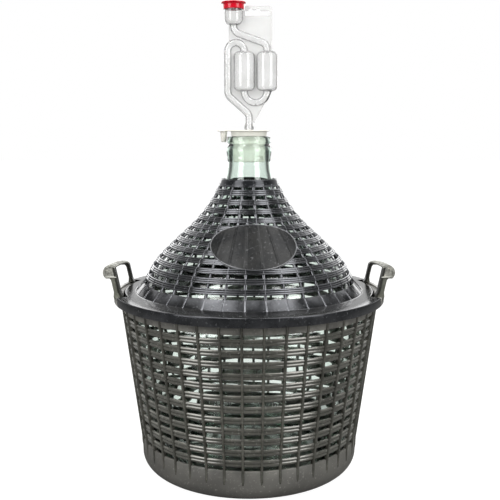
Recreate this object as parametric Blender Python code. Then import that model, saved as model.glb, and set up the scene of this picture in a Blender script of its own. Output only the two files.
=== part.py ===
"""Demijohn: a glass bottle in a lattice basket with two handles, under a lattice cover.

A bung with a spare plug on a strap closes the neck and carries an airlock with a cap.
Metres, +Z up, the floor at z = 0, the axis of the bottle on Z, the handles along X and
the front, where the cover has its oval plaque, towards -Y.
"""

import math

import bmesh
import bpy
from mathutils import Matrix, Vector
from mathutils.geometry import interpolate_bezier

# Basket: base, leaning wall and rim
BASE_CORNER = 0.018
CORNER_STEPS = 3
BASE_RECESS = 0.004
BASE_RING_WIDTH = 0.010
BASE_RECESS_SLOPE = 0.005
BASE_WALL = 0.003
BASKET_WALL = 0.0032
LATTICE_FOOT_Z = 0.038
RIM_OVERHANG = 0.0082
WALL_LEAN = 0.0230
BASKET_ROWS = 7
BASKET_RIBS = 40
BASKET_TOP_BAND = 0.0159
BASKET_RIB_WIDTH = 0.0042
BASKET_RIB_FRONT = 0.0030
BASKET_RIB_DEPTH = 0.0022
BASKET_RIB_FADE = 0.0170
BASKET_RIB_TURN = math.radians(-2.85)
HOLE_SHARE = 0.41
RIM_THICKNESS = 0.0025
RIM_WIDTH = 0.0115
RIM_SEAT_GAP = 0.0004

# Handles, one at each end of X, their grips a little lower at the back
HANDLE_HALF_LENGTH = 0.051
HANDLE_INSET = 0.016
HANDLE_LEAN = 0.0072
HANDLE_RISE = 0.0295
HANDLE_FALL = 0.011
POST_WIDTH = 0.0080
POST_FLARE = 0.0016
POST_FLARE_HEIGHT = 0.007
POST_WALL = 0.0026
POST_DEPTH = 0.0090
GRIP_RADIUS = 0.0092
GRIP_WALL = 0.0026
GRIP_CREST = 0.0015
GRIP_INNER_ANGLE = math.radians(128)
GRIP_OUTER_ANGLE = math.radians(-38)
GRIP_STEPS = 5
GRIP_SPANS = 4
END_PLATE_DROP = 0.0122
APRON_SPREAD = 0.0080
APRON_WIDTH = 0.0048
APRON_STEPS = 5
APRON_STAND = 0.001

# Cover: collar, tent of lattice, plaque, band, flange and skirt
RIM_RADIUS = 0.164
COVER_TOP_Z = 0.218
COVER_WALL = 0.0022
SKIRT_DEPTH = 0.011
FLANGE_WIDTH = 0.0266
BAND_LEAN = 0.0093
BAND_HEIGHT = 0.011
COLLAR_FOOT_RADIUS = 0.0355
TENT_HEIGHT = 0.118
COLLAR_HEIGHT = 0.0055
COLLAR_RADIUS = 0.0338
TENT_RADIUS_SHARES = (0.0, 0.112, 0.306, 0.589, 0.850, 1.0)
TENT_HEIGHT_SHARES = (1.0, 0.827, 0.629, 0.419, 0.208, 0.0)
TENT_STEPS = 8
COVER_ROWS = 7
COVER_OPEN_ROWS = 3
COVER_RIBS = 36
COVER_RIB_WIDTH = 0.0034
COVER_RIB_DEPTH = 0.0011
COVER_RIB_TURN = math.radians(-1.8)
NOTCH_CLEARANCE = 0.0017
NOTCH_DEPTH = 0.0135
PLAQUE_TURN = math.radians(4.0)
PLAQUE_HALF_WIDTH = 0.052
PLAQUE_HALF_HEIGHT = 0.033
PLAQUE_RAISE = 0.0016
PLAQUE_WALL = 0.0028
PLAQUE_SIDES = 24
PLAQUE_RING_SHARE = 0.55
PLAQUE_PLACE_SHARE = 0.439

# Glass bottle
GLASS_WALL = 0.0025
GLASS_BASE_WALL = 0.005
GLASS_PUNT = 0.008
GLASS_FOOT_WIDTH = 0.012
GLASS_GAP = 0.0010
SHOULDER_GAP = 0.0021
GLASS_CORNER = 0.022
SHOULDER_BELOW_RIM = 0.0229
GLASS_SHOULDER_PULL = 0.016
GLASS_NECK_SHARE = 0.78
GLASS_NECK_PULL = 0.0235
GLASS_SEAM = 0.00005
NECK_WAIST_RADIUS = 0.0258
NECK_BULGE_RADIUS = 0.0271
NECK_BORE_RADIUS = 0.0208
LIP_RADIUS = 0.0260
NECK_STAND = 0.0501
LIP_HEIGHT = 0.0078
LIP_GROOVE = 0.0012
BULGE_BELOW_LIP = 0.0165
WAIST_BELOW_LIP = 0.028
GLASS_SIDES = 24
SHOULDER_POINTS = 4
SLOPE_POINTS = 5
NECK_POINTS = 5

# Bung with its strap and spare plug
FIT_GAP = 0.0003
BUNG_FLANGE_RADIUS = 0.0244
BUNG_FLANGE_WALL = 0.0016
BUNG_STAND = 0.0077
BUNG_BODY_RADIUS = 0.0215
BUNG_BODY_TAPER = 0.0005
BUNG_PLUG_DEPTH = 0.030
BUNG_FOOT_RADIUS = 0.0188
BUNG_CHAMFER = 0.0015
BUNG_SIDES = 24
STRAP_WALL = 0.0015
STRAP_WIDTH = 0.0065
SPARE_X = -0.0303
SPARE_FLANGE_X = -0.0315
SPARE_FLANGE_RADIUS = 0.0064
SPARE_FLANGE_WALL = 0.0018
SPARE_RADIUS = 0.0042
SPARE_FOOT_RADIUS = 0.0032
SPARE_LENGTH = 0.0125
SPARE_SIDES = 12

# Airlock: one bent tube with two chambers and a cup on a hanger plate, welded from two shells
TUBE_RADIUS = 0.0044
TUBE_WALL = 0.0011
TUBE_SIDES = 8
STEM_RADIUS = 0.0057
STEM_TIP_RADIUS = 0.0046
STEM_DEPTH = 0.026
STEM_STAND = 0.0037
STEM_TAPER = 0.0045
ELBOW_RISE = 0.0105
ELBOW_RADIUS = 0.0095
ELBOW_STEPS = 2
DIAGONAL_RISE = 0.0225
DOWN_TUBE_X = -0.0252
CHAMBER_LEFT_X = -0.0056
CHAMBER_RIGHT_X = 0.0214
CHAMBER_RADIUS = 0.0127
CHAMBER_WALL = 0.0012
CHAMBER_RISE = 0.0045
CHAMBER_HEIGHT = 0.0462
CHAMBER_ROUND = 0.0062
ROUND_STEPS = 2
BEND_STEPS = 3
SLANT_STAND = 0.0084
SLANT_RISE = 0.0137
CUP_X = -0.0180
CUP_RADIUS = 0.0104
CUP_WALL = 0.0011
CUP_STAND = 0.0092
CUP_ROUND = 0.0060
CUP_HEIGHT = 0.0230
PLATE_WALL = 0.0018
PLATE_BELOW_CUP = 0.0025
PLATE_LEFT_X = -0.0238
PLATE_RIGHT_X = 0.0272
PLATE_CORNER = 0.0040
PLATE_CORNER_STEPS = 3
PLATE_TAPER_RISE = 0.0025
PLATE_FOOT_X = 0.0050
PLATE_FOOT_RISE = 0.0020
PLATE_STEP_X = -0.0046
PLATE_STEP_DROP = 0.0050
SLOT_LEFT_X = -0.0048
SLOT_RIGHT_X = 0.0243
SLOT_DROP = 0.0115
SLOT_HEIGHT = 0.0058
SLOT_HUMP_X = 0.0062
SLOT_HUMP_WIDTH = 0.0140
SLOT_HUMP_HEIGHT = 0.0028

# Airlock cap
CAP_FLANGE_RADIUS = 0.0146
CAP_FLANGE_WALL = 0.0014
CAP_FLARE = 0.0004
CAP_HEIGHT = 0.0080
CAP_WALL = 0.0009
CAP_DOME = 0.0008
CAP_SIDES = 20

# Faces that meet at less than this angle are shaded as one
SMOOTH_ANGLE = math.radians(32)

# Sizes that follow from the ones above: radii from the rim inwards, heights from the floor upwards
COVER_SIDES_FIT = math.cos(math.pi / COVER_RIBS)
SKIRT_INNER_RADIUS = RIM_RADIUS - COVER_WALL
RIM_LIP_RADIUS = SKIRT_INNER_RADIUS * COVER_SIDES_FIT - FIT_GAP
RIM_INNER_RADIUS = RIM_RADIUS - RIM_WIDTH
FLANGE_INNER_RADIUS = RIM_RADIUS - FLANGE_WIDTH
BAND_TOP_RADIUS = FLANGE_INNER_RADIUS - BAND_LEAN
NOTCH_RADIUS = RIM_RADIUS - NOTCH_DEPTH
WALL_TOP_RADIUS = RIM_RADIUS - RIM_OVERHANG
WALL_FOOT_RADIUS = WALL_TOP_RADIUS - WALL_LEAN
BASE_FLAT_RADIUS = WALL_FOOT_RADIUS - BASE_CORNER
BASE_RECESS_RADIUS = BASE_FLAT_RADIUS - BASE_RING_WIDTH
HANDLE_FOOT_X = RIM_RADIUS - HANDLE_INSET
HANDLE_TOP_X = HANDLE_FOOT_X + HANDLE_LEAN
APRON_INNER_RADIUS = RIM_RADIUS - APRON_WIDTH
APRON_HALF_ANGLE = (HANDLE_HALF_LENGTH + APRON_SPREAD) / RIM_RADIUS
NOTCH_HALF_ANGLE = APRON_HALF_ANGLE + NOTCH_CLEARANCE / RIM_RADIUS
FLOOR_Z = BASE_RECESS + BASE_WALL
GLASS_FOOT_Z = FLOOR_Z + FIT_GAP
RIM_TOP_Z = COVER_TOP_Z - COVER_WALL - RIM_SEAT_GAP
RIM_FOOT_Z = RIM_TOP_Z - RIM_THICKNESS
HANDLE_TOP_Z = COVER_TOP_Z + HANDLE_RISE
BASKET_LATTICE_HEIGHT = RIM_FOOT_Z - LATTICE_FOOT_Z - BASKET_TOP_BAND
BASKET_PITCH = BASKET_LATTICE_HEIGHT / (BASKET_ROWS - 1 + HOLE_SHARE)
GLASS_SHOULDER_Z = RIM_FOOT_Z - SHOULDER_BELOW_RIM
COLLAR_FOOT_Z = COVER_TOP_Z + BAND_HEIGHT + TENT_HEIGHT
LIP_TOP_Z = COLLAR_FOOT_Z + COLLAR_HEIGHT + NECK_STAND
BUNG_TOP_Z = LIP_TOP_Z + BUNG_STAND
STEM_NECK_Z = BUNG_TOP_Z + STEM_STAND
STEM_TAPER_Z = STEM_NECK_Z + STEM_TAPER
ELBOW_Z = STEM_TAPER_Z + ELBOW_RISE
DIAGONAL_TOP_Z = ELBOW_Z + DIAGONAL_RISE
CHAMBER_FOOT_Z = DIAGONAL_TOP_Z + CHAMBER_RISE
CHAMBER_TOP_Z = CHAMBER_FOOT_Z + CHAMBER_HEIGHT
SLANT_RIGHT_Z = CHAMBER_TOP_Z + SLANT_STAND
SLANT_LEFT_Z = SLANT_RIGHT_Z + SLANT_RISE
CUP_FOOT_Z = SLANT_LEFT_Z + CUP_STAND
CUP_TOP_Z = CUP_FOOT_Z + CUP_HEIGHT
PLATE_FOOT_Z = STEM_NECK_Z + PLATE_FOOT_RISE
PLATE_TAPER_Z = CHAMBER_FOOT_Z + PLATE_TAPER_RISE
PLATE_TOP_Z = CUP_TOP_Z - PLATE_BELOW_CUP
PLATE_STEP_Z = PLATE_TOP_Z - PLATE_STEP_DROP
SLOT_FOOT_Z = PLATE_TOP_Z - SLOT_DROP
GLASS_SIDES_FIT = math.cos(math.pi / GLASS_SIDES)
TUBE_SIDES_FIT = 1 / math.cos(math.pi / TUBE_SIDES)
PLUG_RADIUS = NECK_BORE_RADIUS * GLASS_SIDES_FIT - FIT_GAP
UPPER_BEND_RADIUS = (CHAMBER_LEFT_X - DOWN_TUBE_X) / 2
LOWER_BEND_RADIUS = (CHAMBER_RIGHT_X - CHAMBER_LEFT_X) / 2
HINGE_X = -BUNG_FLANGE_RADIUS - FIT_GAP / 2


def material(name, colour, roughness, transmission=0.0, alpha=1.0):
    made = bpy.data.materials.new(name)
    made.use_nodes = True
    shader = made.node_tree.nodes["Principled BSDF"]
    shader.inputs["Base Color"].default_value = (*colour, 1.0)
    shader.inputs["Roughness"].default_value = roughness
    shader.inputs["Transmission Weight"].default_value = transmission
    shader.inputs["Alpha"].default_value = alpha
    return made


def mesh_of(name, corners, faces):
    """A mesh with its faces turned outward."""
    form = bmesh.new()
    points = [form.verts.new(corner) for corner in corners]
    for face in faces:
        form.faces.new([points[number] for number in face])
    bmesh.ops.recalc_face_normals(form, faces=form.faces)
    mesh = bpy.data.meshes.new(name)
    form.to_mesh(mesh)
    form.free()
    return mesh


def place(name, mesh, look, origin, parent=None):
    """An object whose origin lies on its joint's axis, under the piece that carries it."""
    mesh.transform(Matrix.Translation(-Vector(origin)))
    mesh.shade_smooth()
    mesh.set_sharp_from_angle(angle=SMOOTH_ANGLE)
    made = bpy.data.objects.new(name, mesh)
    bpy.context.scene.collection.objects.link(made)
    made.data.materials.append(look)
    made["origin"] = tuple(origin)
    made.location = Vector(origin)
    if parent:
        made.parent = parent
        made.location -= Vector(parent["origin"])
    return made


def helper(name, mesh):
    """A shape that only cuts or joins another one."""
    made = bpy.data.objects.new(name, mesh)
    bpy.context.scene.collection.objects.link(made)
    made.hide_render = True
    made.display_type = "WIRE"
    return made


def combine(target, other, operation):
    step = target.modifiers.new(other.name, "BOOLEAN")
    step.object = other
    step.operation = operation
    step.solver = "EXACT"


def arc(centre, radius, start, end, steps):
    """Points of an arc in a plane, from one angle to another."""
    turns = [start + (end - start) * step / steps for step in range(steps + 1)]
    return [(centre[0] + radius * math.cos(turn), centre[1] + radius * math.sin(turn)) for turn in turns]


def turned(name, outline, steps, centre=(0.0, 0.0)):
    """A closed outline of radius and height turned about a vertical line."""
    corners = []
    rings = []
    for radius, height in outline:
        sides = steps if radius > 0 else 1
        rings.append([len(corners) + side % sides for side in range(steps)])
        for side in range(sides):
            turn = 2 * math.pi * side / steps
            corners.append(
                (centre[0] + radius * math.cos(turn), centre[1] + radius * math.sin(turn), height)
            )
    faces = []
    for first, second in zip(rings, rings[1:] + rings[:1]):
        for side in range(steps):
            after = (side + 1) % steps
            face = [first[side], first[after], second[after], second[side]]
            face = list(dict.fromkeys(face))
            if len(face) > 2:
                faces.append(face)
    return mesh_of(name, corners, faces)


def prism(name, outline, low, high):
    """An outline in the XZ plane drawn out along Y."""
    count = len(outline)
    corners = [(x, low, z) for x, z in outline] + [(x, high, z) for x, z in outline]
    faces = [list(range(count)), list(range(count, 2 * count))]
    for side in range(count):
        after = (side + 1) % count
        faces.append([side, after, count + after, count + side])
    return mesh_of(name, corners, faces)


def sector(name, inner, outer, low, high, middle, half_angle, steps):
    """A piece of a ring with a rectangular section."""
    corners = []
    faces = []
    for step in range(steps + 1):
        turn = middle + half_angle * (2 * step / steps - 1)
        for radius, height in ((inner, low), (outer, low), (outer, high), (inner, high)):
            corners.append((radius * math.cos(turn), radius * math.sin(turn), height))
    for step in range(steps):
        for side in range(4):
            after = (side + 1) % 4
            faces.append([4 * step + side, 4 * step + after, 4 * step + 4 + after, 4 * step + 4 + side])
    faces.append([0, 1, 2, 3])
    faces.append([4 * steps + side for side in range(4)])
    return mesh_of(name, corners, faces)


def ring_point(turn, radius, height, across=0.0):
    """A point on a ring whose angle is counted from the front, moved sideways by a length."""
    real = turn - math.pi / 2
    out = Vector((math.cos(real), math.sin(real), 0.0))
    along = Vector((-math.sin(real), math.cos(real), 0.0))
    return out * radius + along * across + Vector((0.0, 0.0, height))


def wall_radius(height):
    """Radius of the basket's slats, which lean outward from the base to the rim."""
    share = (height - LATTICE_FOOT_Z) / (RIM_FOOT_Z - LATTICE_FOOT_Z)
    return WALL_FOOT_RADIUS + (WALL_TOP_RADIUS - WALL_FOOT_RADIUS) * share


class Net:
    """Named corners and the faces between them, for a lattice that is drawn cell by cell."""

    def __init__(self):
        self.corners = []
        self.numbers = {}
        self.faces = []

    def corner(self, key, point):
        self.numbers[key] = len(self.corners)
        self.corners.append(point)

    def face(self, *keys):
        self.faces.append([self.numbers[key] for key in keys])

    def mesh(self, name):
        return mesh_of(name, self.corners, self.faces)


def basket_shell():
    """Base, lattice wall with its ribs, and rim, each slat a bar with an edge on its inside."""
    net = Net()
    turns = [BASKET_RIB_TURN + 2 * math.pi * rib / BASKET_RIBS for rib in range(BASKET_RIBS)]
    half = BASKET_RIB_WIDTH / 2
    front = BASKET_RIB_FRONT / 2
    slat = BASKET_PITCH * (1 - HOLE_SHARE)
    feet = [LATTICE_FOOT_Z + BASKET_PITCH * row for row in range(BASKET_ROWS)]
    heads = [foot + BASKET_PITCH * HOLE_SHARE for foot in feet]
    edges = [LATTICE_FOOT_Z + BASKET_PITCH * row - slat / 2 for row in range(BASKET_ROWS + 1)]
    rib_end_z = LATTICE_FOOT_Z - BASKET_RIB_FADE
    rib_tip_z = (rib_end_z + LATTICE_FOOT_Z) / 2
    corner = (BASE_FLAT_RADIUS, BASE_CORNER)
    bend = arc(corner, BASE_CORNER, 0, -math.pi / 2, CORNER_STEPS)
    inside = arc(corner, BASE_CORNER - FLOOR_Z, -math.pi / 2, 0, CORNER_STEPS - 1)
    below = [(WALL_FOOT_RADIUS, rib_end_z)] + bend[1:]
    below += [(BASE_RECESS_RADIUS, 0.0), (BASE_RECESS_RADIUS - BASE_RECESS_SLOPE, BASE_RECESS)]
    over = [(RIM_LIP_RADIUS, RIM_FOOT_Z), (RIM_LIP_RADIUS, RIM_TOP_Z), (RIM_INNER_RADIUS, RIM_TOP_Z)]
    for rib, turn in enumerate(turns):
        for side, sign in (("left", -1), ("right", 1)):
            for row in range(BASKET_ROWS):
                for end, height in (("foot", feet[row]), ("head", heads[row])):
                    point = ring_point(turn, wall_radius(height), height, sign * half)
                    net.corner((side, rib, row, end), point)
            net.corner((side, rib, "top"), ring_point(turn, WALL_TOP_RADIUS, RIM_FOOT_Z, sign * half))
            for end, height, reach in (("top", RIM_FOOT_Z, front), ("tip", rib_tip_z, front / 2)):
                radius = wall_radius(height) + BASKET_RIB_DEPTH
                net.corner(("front", side, rib, end), ring_point(turn, radius, height, sign * reach))
        for row, height in enumerate(edges):
            net.corner(("edge", rib, row), ring_point(turn, wall_radius(height) - BASKET_WALL, height))
        for name, profile in (("below", below), ("inside", inside), ("over", over)):
            for level, (radius, height) in enumerate(profile):
                net.corner((name, rib, level), ring_point(turn, radius, height))
    last = BASKET_ROWS - 1
    for rib in range(BASKET_RIBS):
        after = (rib + 1) % BASKET_RIBS
        for row in range(BASKET_ROWS):
            foot = [("right", rib, row, "foot"), ("left", after, row, "foot")]
            head = [("right", rib, row, "head"), ("left", after, row, "head")]
            lower = [("edge", rib, row), ("edge", after, row)]
            upper = [("edge", rib, row + 1), ("edge", after, row + 1)]
            net.face(*foot, lower[1], lower[0])
            net.face(*head, upper[1], upper[0])
            net.face(foot[0], head[0], upper[0], lower[0])
            net.face(foot[1], head[1], upper[1], lower[1])
            if row < last:
                net.face(*head, ("left", after, row + 1, "foot"), ("right", rib, row + 1, "foot"))
        for side in ("left", "right"):
            line = []
            for row in range(BASKET_ROWS):
                line += [(side, rib, row, "foot"), (side, rib, row, "head")]
            line.append((side, rib, "top"))
            net.face(("front", side, rib, "top"), ("front", side, rib, "tip"), *line)
            net.face(("front", side, rib, "tip"), ("below", rib, 0), (side, rib, 0, "foot"))
        fronts = [("front", "left", rib, "tip"), ("front", "right", rib, "tip")]
        net.face(*fronts, ("front", "right", rib, "top"), ("front", "left", rib, "top"))
        net.face(*fronts, ("below", rib, 0))
        net.face(("front", "left", rib, "top"), ("front", "right", rib, "top"), ("over", rib, 0))
        bottom = [("right", rib, 0, "foot"), ("left", after, 0, "foot")]
        net.face(*bottom, ("below", after, 0), ("below", rib, 0))
        top = [("right", rib, last, "head"), ("left", after, last, "head")]
        net.face(*top, ("left", after, "top"), ("right", rib, "top"))
        under = [("over", after, 0), ("over", rib, 0), ("front", "right", rib, "top")]
        net.face(("left", after, "top"), ("front", "left", after, "top"), *under, ("right", rib, "top"))
        for name, profile in (("below", below), ("inside", inside), ("over", over)):
            for level in range(len(profile) - 1):
                pair = [(name, rib, level), (name, after, level)]
                net.face(*pair, (name, after, level + 1), (name, rib, level + 1))
        rim_edge = [("over", rib, 2), ("over", after, 2)]
        net.face(*rim_edge, ("edge", after, BASKET_ROWS), ("edge", rib, BASKET_ROWS))
        band = [("edge", rib, 0), ("edge", after, 0)]
        net.face(*band, ("inside", after, len(inside) - 1), ("inside", rib, len(inside) - 1))
    net.face(*[("below", rib, len(below) - 1) for rib in range(BASKET_RIBS)])
    net.face(*[("inside", rib, 0) for rib in range(BASKET_RIBS)])
    return net.mesh("basket")


def grip_top(along):
    """Height of the grip's inner top edge, which falls towards the back and rises a little between."""
    share = along / HANDLE_HALF_LENGTH
    return HANDLE_TOP_Z - share * HANDLE_FALL / 2 + GRIP_CREST * (1 - share * share)


def grip_section(along, radius, inner_radius):
    """The arched section of the grip, as a strip between two arcs."""
    middle_x = HANDLE_TOP_X - GRIP_RADIUS * math.cos(GRIP_INNER_ANGLE)
    middle_z = grip_top(along) - GRIP_RADIUS * math.sin(GRIP_INNER_ANGLE)
    outer = arc((middle_x, middle_z), radius, GRIP_INNER_ANGLE, GRIP_OUTER_ANGLE, GRIP_STEPS)
    inner = arc((middle_x, middle_z), inner_radius, GRIP_OUTER_ANGLE, GRIP_INNER_ANGLE, GRIP_STEPS)
    return outer, inner


def loft(name, rings):
    """Closed outlines with the same number of points, joined one to the next and capped."""
    count = len(rings[0])
    corners = [point for ring in rings for point in ring]
    faces = [list(range(count)), [count * (len(rings) - 1) + side for side in range(count)]]
    for ring in range(len(rings) - 1):
        for side in range(count):
            after = (side + 1) % count
            start = count * ring
            faces.append([start + side, start + after, start + count + after, start + count + side])
    return mesh_of(name, corners, faces)


def post_ring(end, height, grow):
    """The L section of a post: a web across the handle's end and a flange along its inside."""
    foot_z = RIM_FOOT_Z
    share = (height - foot_z) / (HANDLE_TOP_Z - foot_z)
    inner = HANDLE_FOOT_X + (HANDLE_TOP_X - HANDLE_FOOT_X) * share - grow
    outer = inner + POST_WIDTH + 2 * grow
    end_y = HANDLE_HALF_LENGTH
    outline = [
        (inner, end_y),
        (outer, end_y),
        (outer, end_y - POST_WALL),
        (inner + POST_WALL, end_y - POST_WALL),
        (inner + POST_WALL, end_y - POST_DEPTH),
        (inner, end_y - POST_DEPTH),
    ]
    return [(x, end * y, height) for x, y in outline]


def handle(side):
    """One handle with its apron, standing on the rim at one end of X."""
    name = "left" if side < 0 else "right"
    stations = [HANDLE_HALF_LENGTH * (2 * step / GRIP_SPANS - 1) for step in range(GRIP_SPANS + 1)]
    rings = []
    for along in stations:
        outer, inner = grip_section(along, GRIP_RADIUS, GRIP_RADIUS - GRIP_WALL)
        rings.append([(x, along, z) for x, z in outer + inner])
    pieces = [loft(f"{name}_grip", rings)]
    for end in (-1, 1):
        top = grip_top(end * HANDLE_HALF_LENGTH) - GRIP_WALL / 2
        foot = RIM_FOOT_Z + RIM_THICKNESS / 2
        flare = RIM_TOP_Z + POST_FLARE_HEIGHT
        levels = [(foot, POST_FLARE), (RIM_TOP_Z, POST_FLARE), (flare, 0.0), (top, 0.0)]
        pieces.append(loft(f"{name}_post", [post_ring(end, height, grow) for height, grow in levels]))
        outer, _ = grip_section(end * HANDLE_HALF_LENGTH, GRIP_RADIUS - GRIP_WALL / 2, GRIP_RADIUS)
        low = grip_top(end * HANDLE_HALF_LENGTH) - END_PLATE_DROP
        inner_x = outer[0][0] - POST_WALL / 2
        outline = [point for point in outer if point[1] > low]
        outline += [(outline[-1][0], low), (inner_x, low)]
        near = end * (HANDLE_HALF_LENGTH - POST_WALL)
        far = end * (HANDLE_HALF_LENGTH - FIT_GAP)
        pieces.append(prism(f"{name}_end_plate", outline, near, far))
    for mesh in pieces:
        mesh.transform(Matrix.Scale(side, 4, Vector((1.0, 0.0, 0.0))))
        if side < 0:
            mesh.flip_normals()
    middle = 0.0 if side > 0 else math.pi
    low = COVER_TOP_Z - SKIRT_DEPTH
    high = COVER_TOP_Z - APRON_STAND
    reach = (APRON_INNER_RADIUS, RIM_RADIUS)
    pieces.append(sector(f"{name}_apron", *reach, low, high, middle, APRON_HALF_ANGLE, APRON_STEPS))
    made = [helper(mesh.name, mesh) for mesh in pieces]
    for other in made[1:]:
        combine(made[0], other, "UNION")
    return made[0]


def tent_line():
    """The cover's lattice profile, as points of radius and height from the band up to the collar."""
    band_z = COVER_TOP_Z + BAND_HEIGHT
    knots = []
    for radius_share, height_share in zip(reversed(TENT_RADIUS_SHARES), reversed(TENT_HEIGHT_SHARES)):
        radius = COLLAR_FOOT_RADIUS + (BAND_TOP_RADIUS - COLLAR_FOOT_RADIUS) * radius_share
        knots.append(Vector((radius, band_z + (COLLAR_FOOT_Z - band_z) * height_share)))
    ends = [2 * knots[0] - knots[1], *knots, 2 * knots[-1] - knots[-2]]
    line = []
    for before, start, end, after in zip(ends, ends[1:], ends[2:], ends[3:]):
        for step in range(TENT_STEPS):
            t = step / TENT_STEPS
            point = 2 * start + (end - before) * t
            point += (2 * before - 5 * start + 4 * end - after) * t**2
            point += (3 * start - before - 3 * end + after) * t**3
            line.append(point / 2)
    line.append(knots[-1])
    return line


TENT_LINE = tent_line()
TENT_LENGTH = sum((b - a).length for a, b in zip(TENT_LINE, TENT_LINE[1:]))
COVER_PITCH = TENT_LENGTH / COVER_ROWS


def tent_point(along, out=0.0):
    """Radius and height a length up the tent from the band, moved off the surface by another length."""
    left = along
    for start, end in zip(TENT_LINE, TENT_LINE[1:]):
        step = end - start
        if left <= step.length or end is TENT_LINE[-1]:
            point = start + step * (left / step.length)
            normal = Vector((step.y, -step.x)) / step.length
            return tuple(point + normal * out)
        left -= step.length
    return tuple(TENT_LINE[-1])


def plaque_holds(turn, along):
    """Whether a place on the tent lies well inside the plaque's oval."""
    radius, _ = tent_point(along)
    across = (turn - PLAQUE_TURN) * radius / (PLAQUE_HALF_WIDTH - COVER_RIB_WIDTH)
    up = (along - TENT_LENGTH * PLAQUE_PLACE_SHARE) / (PLAQUE_HALF_HEIGHT - COVER_RIB_WIDTH)
    return across**2 + up**2 < 1


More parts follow.
